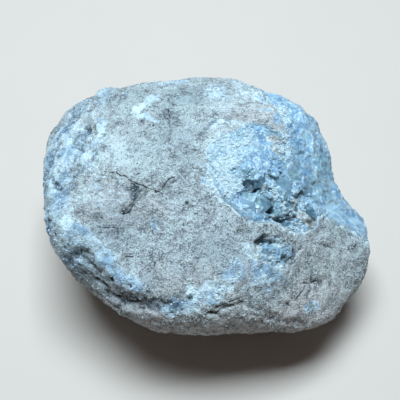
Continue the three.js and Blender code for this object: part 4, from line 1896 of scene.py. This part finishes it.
LOWER_POCKET = Lining(
    name="lower_pocket_celestine",
    node="lower_pocket_lining",
    share=1,
    divisions=170,
    lean=(0.35, -0.6, 0.55),
    lean_share=0.45,
    border=0.06,
    thickness=2,
    seat=0.4,
    bank=0.3,
    facets=((3.2, 0.25), (1.7, 0.25)),
    crusts=areas(
        ((18.5, -37, 50.5), (6, 3.4, 4), 0.6, 0.7, 2, 1),
        ((17, -34.5, 52.3), (2.6, 1.8, 3), 0.6, 0.7, 2, 0.9),
        ((25, -31, 49.5), (4, 2.4, 4), 0.6, 0.7, 2, 0.95),
        ((28, -33.5, 48), (2.6, 2.4, 4), 0.6, 0.7, 2, 0.8),
    ),
    rugged=areas(((21, -34, 51), (8, 5, 6), 0.4, 0.3, 3, 1)),
    # painted shade in the grey pit
    shades=areas(((28, -35.5, 46.5), (4, 2.2, 3.4), 0.5, 0.6, 2, 1)),
    hollows=(
        (Patch((28, -35.8, 46.5), (3, 1.6, 3)), 1.3, 0.35),
        (Patch((18.6, -32.2, 52.4), (2.8, 1.5, 3)), 3, 1),
    ),
    marks=(
        Mark(((19.4, -30.4, 53.6), (21, -30.4, 53), (22.8, -31, 52)), 1, 0.6, TAN, 1, 0.8),
        # painted shadow under the brown overhang
        Mark(((20, -31.4, 52.6), (22.5, -32.2, 51.4)), 0.6, -0.6, DIRT, 0.7, 0.8),
    ),
)


@dataclass(frozen=True)
class PocketCrystals:
    """The clear crystals that stand in the two pockets, with the edges of each one softened.

    Attributes:
        bevel: width of the softened edges, in mm.
        flat: largest angle between triangles of one crystal face, in degrees.
        tones: how light each crystal is, from dark green to pale blue.
    """

    bevel: float = 0.16
    flat: float = 6.0
    tones: tuple[float, ...] = (0.72, 0.52, 0.60, 0.45, 0.88, 0.22, 0.3, 0.28, 0.15, 0.2, 0.1)

    def build(self, finish: Material) -> None:
        """Builds one piece for each packed crystal.

        Args:
            finish: their material.
        """
        for node, tone in zip(crystal_nodes(), self.tones):
            mesh = bpy.data.meshes.new(node.replace("crystal", "clear_crystal"))
            work = bmesh.new()
            work.from_mesh(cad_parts[node].data)
            bmesh.ops.remove_doubles(work, verts=work.verts, dist=0.005 * MM)
            bmesh.ops.dissolve_limit(
                work, angle_limit=math.radians(self.flat), verts=work.verts, edges=work.edges
            )
            bmesh.ops.bevel(
                work, geom=work.edges[:], offset=self.bevel * MM, segments=2, profile=0.6, affect="EDGES"
            )
            bmesh.ops.recalc_face_normals(work, faces=work.faces)
            work.to_mesh(mesh)
            work.free()
            mesh.materials.clear()
            mesh.materials.append(finish)
            piece = linked(mesh.name, mesh)
            keep_number(piece, "tone", np.full(len(mesh.vertices), tone))
            settle(piece, "celestine_crystal", node)


# ---- Grains and small crystals, strewn by Geometry Nodes ----


class Shape(Enum):
    """The shapes that are strewn, of a size of 1."""

    SAND_GRAIN = "sand_grain"
    CHISEL_CRYSTAL = "chisel_crystal"

    def corners(self) -> tuple[list[Place], list[tuple[int, ...]]]:
        """Lists the shape's corners and faces.

        Returns:
            The place of each corner, and the corners of each face, anticlockwise from outside.
        """
        if self is Shape.SAND_GRAIN:
            corners = [
                (0.55, 0.05, 0.02), (0.02, 0.45, -0.1), (-0.5, 0.1, 0.08), (0.1, -0.42, 0.0),
                (0.08, 0.06, 0.42), (-0.06, -0.04, -0.4),
            ]
            ring = ((0, 1), (1, 2), (2, 3), (3, 0))
            faces = [(a, b, 4) for a, b in ring] + [(b, a, 5) for a, b in ring]
            return corners, faces
        corners = [(x, y, -0.7) for x, y in ((-0.5, -0.3), (0.5, -0.3), (0.5, 0.3), (-0.5, 0.3))]
        corners += [(x, y, 0.12) for x, y, _ in corners]
        corners += [(-0.3, 0.0, 0.42), (0.3, 0.0, 0.42)]
        faces = [(3, 2, 1, 0), (0, 1, 5, 4), (1, 2, 6, 5), (2, 3, 7, 6), (3, 0, 4, 7)]
        faces += [(4, 5, 9, 8), (6, 7, 8, 9), (5, 6, 9), (7, 4, 8)]
        return corners, faces


SLIMMEST, STOUTEST = (0.7, 0.7, 0.6), (1.2, 1.2, 1.3)  # of what is strewn, along x, y and z
FORM_DRAW, TURN_DRAW, TONE_DRAW = 3, 7, 11  # seeds of the draws that every scatter makes


@dataclass(frozen=True)
class Strewn:
    """Grains or crystals strewn over a surface.

    Attributes:
        shape: what is strewn.
        cover: the stored number that says where.
        density: how many for each square mm.
        smallest: smallest size, in mm.
        largest: largest size, in mm.
        tilt: how far each leans from upright, in degrees.
        seed: picks one scatter out of many.
        finish: their finish.
        slot: the record's material slot.
    """

    shape: Shape
    cover: str
    density: float
    smallest: float
    largest: float
    tilt: float
    seed: int
    finish: Grain
    slot: str

    def over(self, surface: Object) -> Object:
        """Strews the shape over a surface.

        Args:
            surface: the piece whose mesh is strewn on.

        Returns:
            The new piece.
        """
        tree, inputs = self._tree()
        corners, faces = self.shape.corners()
        seed_shape = new_piece(self.shape.value, np.array(corners) / MM, faces)
        seed_shape.data.polygons.foreach_set("use_smooth", [False] * len(faces))
        host = linked(self.finish.name, surface.data)
        modifier = host.modifiers.new("strewn", "NODES")
        modifier.node_group = tree
        values = {
            "Shape": seed_shape, "Finish": self.finish.material(), "Cover": self.cover,
            "Density": self.density / MM**2, "Smallest": self.smallest * MM,
            "Largest": self.largest * MM, "Tilt": math.radians(self.tilt), "Seed": self.seed,
        }
        for name, value in values.items():
            modifier[inputs[name]] = value
        graph = bpy.context.evaluated_depsgraph_get()
        mesh = bpy.data.meshes.new_from_object(host.evaluated_get(graph))
        bpy.data.objects.remove(host)
        bpy.data.objects.remove(seed_shape)
        return settle(linked(self.finish.name, mesh), self.slot)

    def _tree(self) -> tuple[NodeTree, dict[str, str]]:
        """Builds the tree that strews.

        Returns:
            The tree, and the identifier of each of its inputs by name.
        """
        tree = bpy.data.node_groups.new(f"strew_{self.finish.name}", "GeometryNodeTree")
        kinds = {
            "Surface": "Geometry", "Shape": "Object", "Finish": "Material", "Cover": "String",
            "Density": "Float", "Smallest": "Float", "Largest": "Float", "Tilt": "Float", "Seed": "Int",
        }
        inputs = {}
        for name, kind in kinds.items():
            socket = tree.interface.new_socket(name, in_out="INPUT", socket_type=f"NodeSocket{kind}")
            inputs[name] = socket.identifier
        tree.interface.new_socket("Strewn", in_out="OUTPUT", socket_type="NodeSocketGeometry")
        bench = Bench(tree)
        given = bench.node("NodeGroupInput", {}, {}).outputs
        cover = bench.node(
            "GeometryNodeInputNamedAttribute", {"data_type": "FLOAT"}, {"Name": given["Cover"]}
        )
        dense = Signal(bench, cover.outputs["Attribute"]) * Signal(bench, given["Density"])
        spots = bench.node(
            "GeometryNodeDistributePointsOnFaces",
            {"distribute_method": "RANDOM"},
            {"Mesh": given["Surface"], "Density": dense, "Seed": given["Seed"]},
        )
        size = bench.random(given["Smallest"], given["Largest"], given["Seed"])
        form = bench.random(SLIMMEST, STOUTEST, FORM_DRAW)
        scale = bench.node("ShaderNodeVectorMath", {"operation": "SCALE"}, {0: form, "Scale": size})
        shape = bench.node("GeometryNodeObjectInfo", {}, {"Object": given["Shape"]})
        placed = bench.node(
            "GeometryNodeInstanceOnPoints",
            {},
            {
                "Points": spots.outputs["Points"], "Instance": shape.outputs["Geometry"],
                "Rotation": spots.outputs["Rotation"], "Scale": scale.outputs[0],
            },
        )
        tilt = Signal(bench, given["Tilt"])
        ends = [
            bench.node("ShaderNodeCombineXYZ", {}, {0: lean, 1: lean, 2: turn}).outputs[0]
            for lean, turn in ((0.0 - tilt, 0.0), (tilt, math.tau))
        ]
        turned = bench.node(
            "GeometryNodeRotateInstances",
            {},
            {"Instances": placed.outputs[0], "Rotation": bench.random(*ends, TURN_DRAW)},
        )
        toned = bench.node(
            "GeometryNodeStoreNamedAttribute",
            {"data_type": "FLOAT", "domain": "INSTANCE"},
            {"Geometry": turned.outputs[0], "Name": "tone", "Value": bench.random(0.0, 1.0, TONE_DRAW)},
        )
        real = bench.node("GeometryNodeRealizeInstances", {}, {0: toned.outputs[0]})
        dressed = bench.node(
            "GeometryNodeSetMaterial", {}, {"Geometry": real.outputs[0], "Material": given["Finish"]}
        )
        bench.node("NodeGroupOutput", {}, {0: dressed.outputs[0]})
        return tree, inputs


PALE_SAND = Strewn(
    Shape.SAND_GRAIN, "sandy", 0.62, 0.3, 0.8, 180.0, 5,
    Grain("pale_sand_grains", (0.36, 0.40, 0.40), (0.58, 0.64, 0.64), 0.7), "sandy_rock",
)
DARK_SAND = Strewn(
    Shape.SAND_GRAIN, "sandy", 0.22, 0.3, 0.65, 180.0, 6,
    Grain("dark_sand_grains", (0.10, 0.11, 0.11), (0.28, 0.30, 0.30), 0.7), "sandy_rock",
)
RIM_DRUSE = Strewn(
    Shape.CHISEL_CRYSTAL, "sugary", 0.36, 0.3, 0.65, 75.0, 8,
    Grain("rim_druse", (0.42, 0.55, 0.66), (0.58, 0.70, 0.76), 0.75), "massive_celestine",
)
CRUST_DRUSE = Strewn(
    Shape.CHISEL_CRYSTAL, "sugary", 1.5, 0.35, 0.85, 60.0, 9,
    Grain("crust_druse", (0.46, 0.58, 0.66), (0.64, 0.74, 0.78), 0.5), "massive_celestine",
)
BROKEN_CRYSTALS = Strewn(
    Shape.CHISEL_CRYSTAL, "blocky", 0.14, 0.5, 1.5, 80.0, 10,
    Grain("broken_crystals", (0.20, 0.32, 0.40), (0.46, 0.60, 0.70), 0.3), "massive_celestine",
)


# ---- Studio ----


@dataclass(frozen=True)
class Lamp:
    """A soft lamp that shines on the stone.

    Attributes:
        name: the lamp's name.
        place: where it hangs, in metres.
        size: its width and height, in metres.
        power: in watts.
        colour: of its light.
    """

    name: str
    place: Place
    size: tuple[float, float]
    power: float
    colour: Colour

    def hang(self, target: Vector) -> None:
        """Hangs the lamp and turns it to a place.

        Args:
            target: the place, in metres.
        """
        data = bpy.data.lights.new(self.name, "AREA")
        data.shape = "RECTANGLE"
        data.size, data.size_y = self.size
        data.energy = self.power
        data.color = self.colour
        lamp = linked(self.name, data)
        lamp.location = self.place
        lamp.rotation_euler = (target - Vector(self.place)).to_track_quat("-Z", "Y").to_euler()


@dataclass(frozen=True)
class Studio:
    """A plain floor, soft light and the camera.

    Attributes:
        elevation: of the camera above the level, in degrees.
        distance: from the camera to the point that it looks at, in mm.
        aside: how far that point lies from the middle of the stone's box, in mm.
        lens: focal length, in mm.
        floor: half the width of the floor, in metres.
        lamps: the soft lamps.
        air: colour of the light from all round.
        air_strength: how strong that light is.
    """

    elevation: float = 55.0
    distance: float = 264.0
    aside: Place = (-2.4, -0.6, 0.2)
    lens: float = 60.0
    floor: float = 1.5
    lamps: tuple[Lamp, ...] = (
        Lamp("window", (-0.05, 0.17, 0.95), (0.6, 0.36), 16.5, (0.73, 0.90, 1.0)),
    )
    air: Colour = (1.0, 0.94, 0.90)
    air_strength: float = 0.07

    def set_up(self) -> None:
        """Lays the floor, hangs the lamps and stands the camera."""
        low, high = CAD_BOX
        target = (low + high) / 2 + Vector(self.aside) * MM
        half = self.floor
        corners = np.array([(-half, -half, 0), (half, -half, 0), (half, half, 0), (-half, half, 0)])
        floor = new_piece("floor", corners / MM, [(0, 1, 2, 3)], PaperFloor().material())
        for lamp in self.lamps:
            lamp.hang(target)
        scene = bpy.context.scene
        world = bpy.data.worlds.new("air")
        world.use_nodes = True
        background = world.node_tree.nodes["Background"]
        background.inputs["Color"].default_value = (*self.air, 1.0)
        background.inputs["Strength"].default_value = self.air_strength
        scene.world = world
        data = bpy.data.cameras.new("camera")
        data.lens = self.lens
        camera = linked("camera", data)
        angle = math.radians(self.elevation)
        back = Vector((0.0, -math.cos(angle), math.sin(angle)))
        camera.location = target + back * self.distance * MM
        camera.rotation_euler = (-back).to_track_quat("-Z", "Y").to_euler()
        scene.camera = camera
        scene.view_settings.view_transform = "Standard"


def main() -> None:
    """Builds the cluster piece by piece and reports each one."""
    logging.basicConfig(level=logging.INFO, format="%(name)s: %(message)s")
    Studio().set_up()
    skin = StoneSkin()
    rock = SandyMatrix().build(skin)
    celestine = MassiveCelestine().material()
    lining = CELESTINE_LINING.build(skin, celestine)
    LOWER_POCKET.build(skin, celestine)
    PocketCrystals().build(ClearCelestine().material())
    PALE_SAND.over(rock)
    DARK_SAND.over(rock)
    RIM_DRUSE.over(rock)
    CRUST_DRUSE.over(lining)
    BROKEN_CRYSTALS.over(lining)


if __name__ == "__main__":
    main()
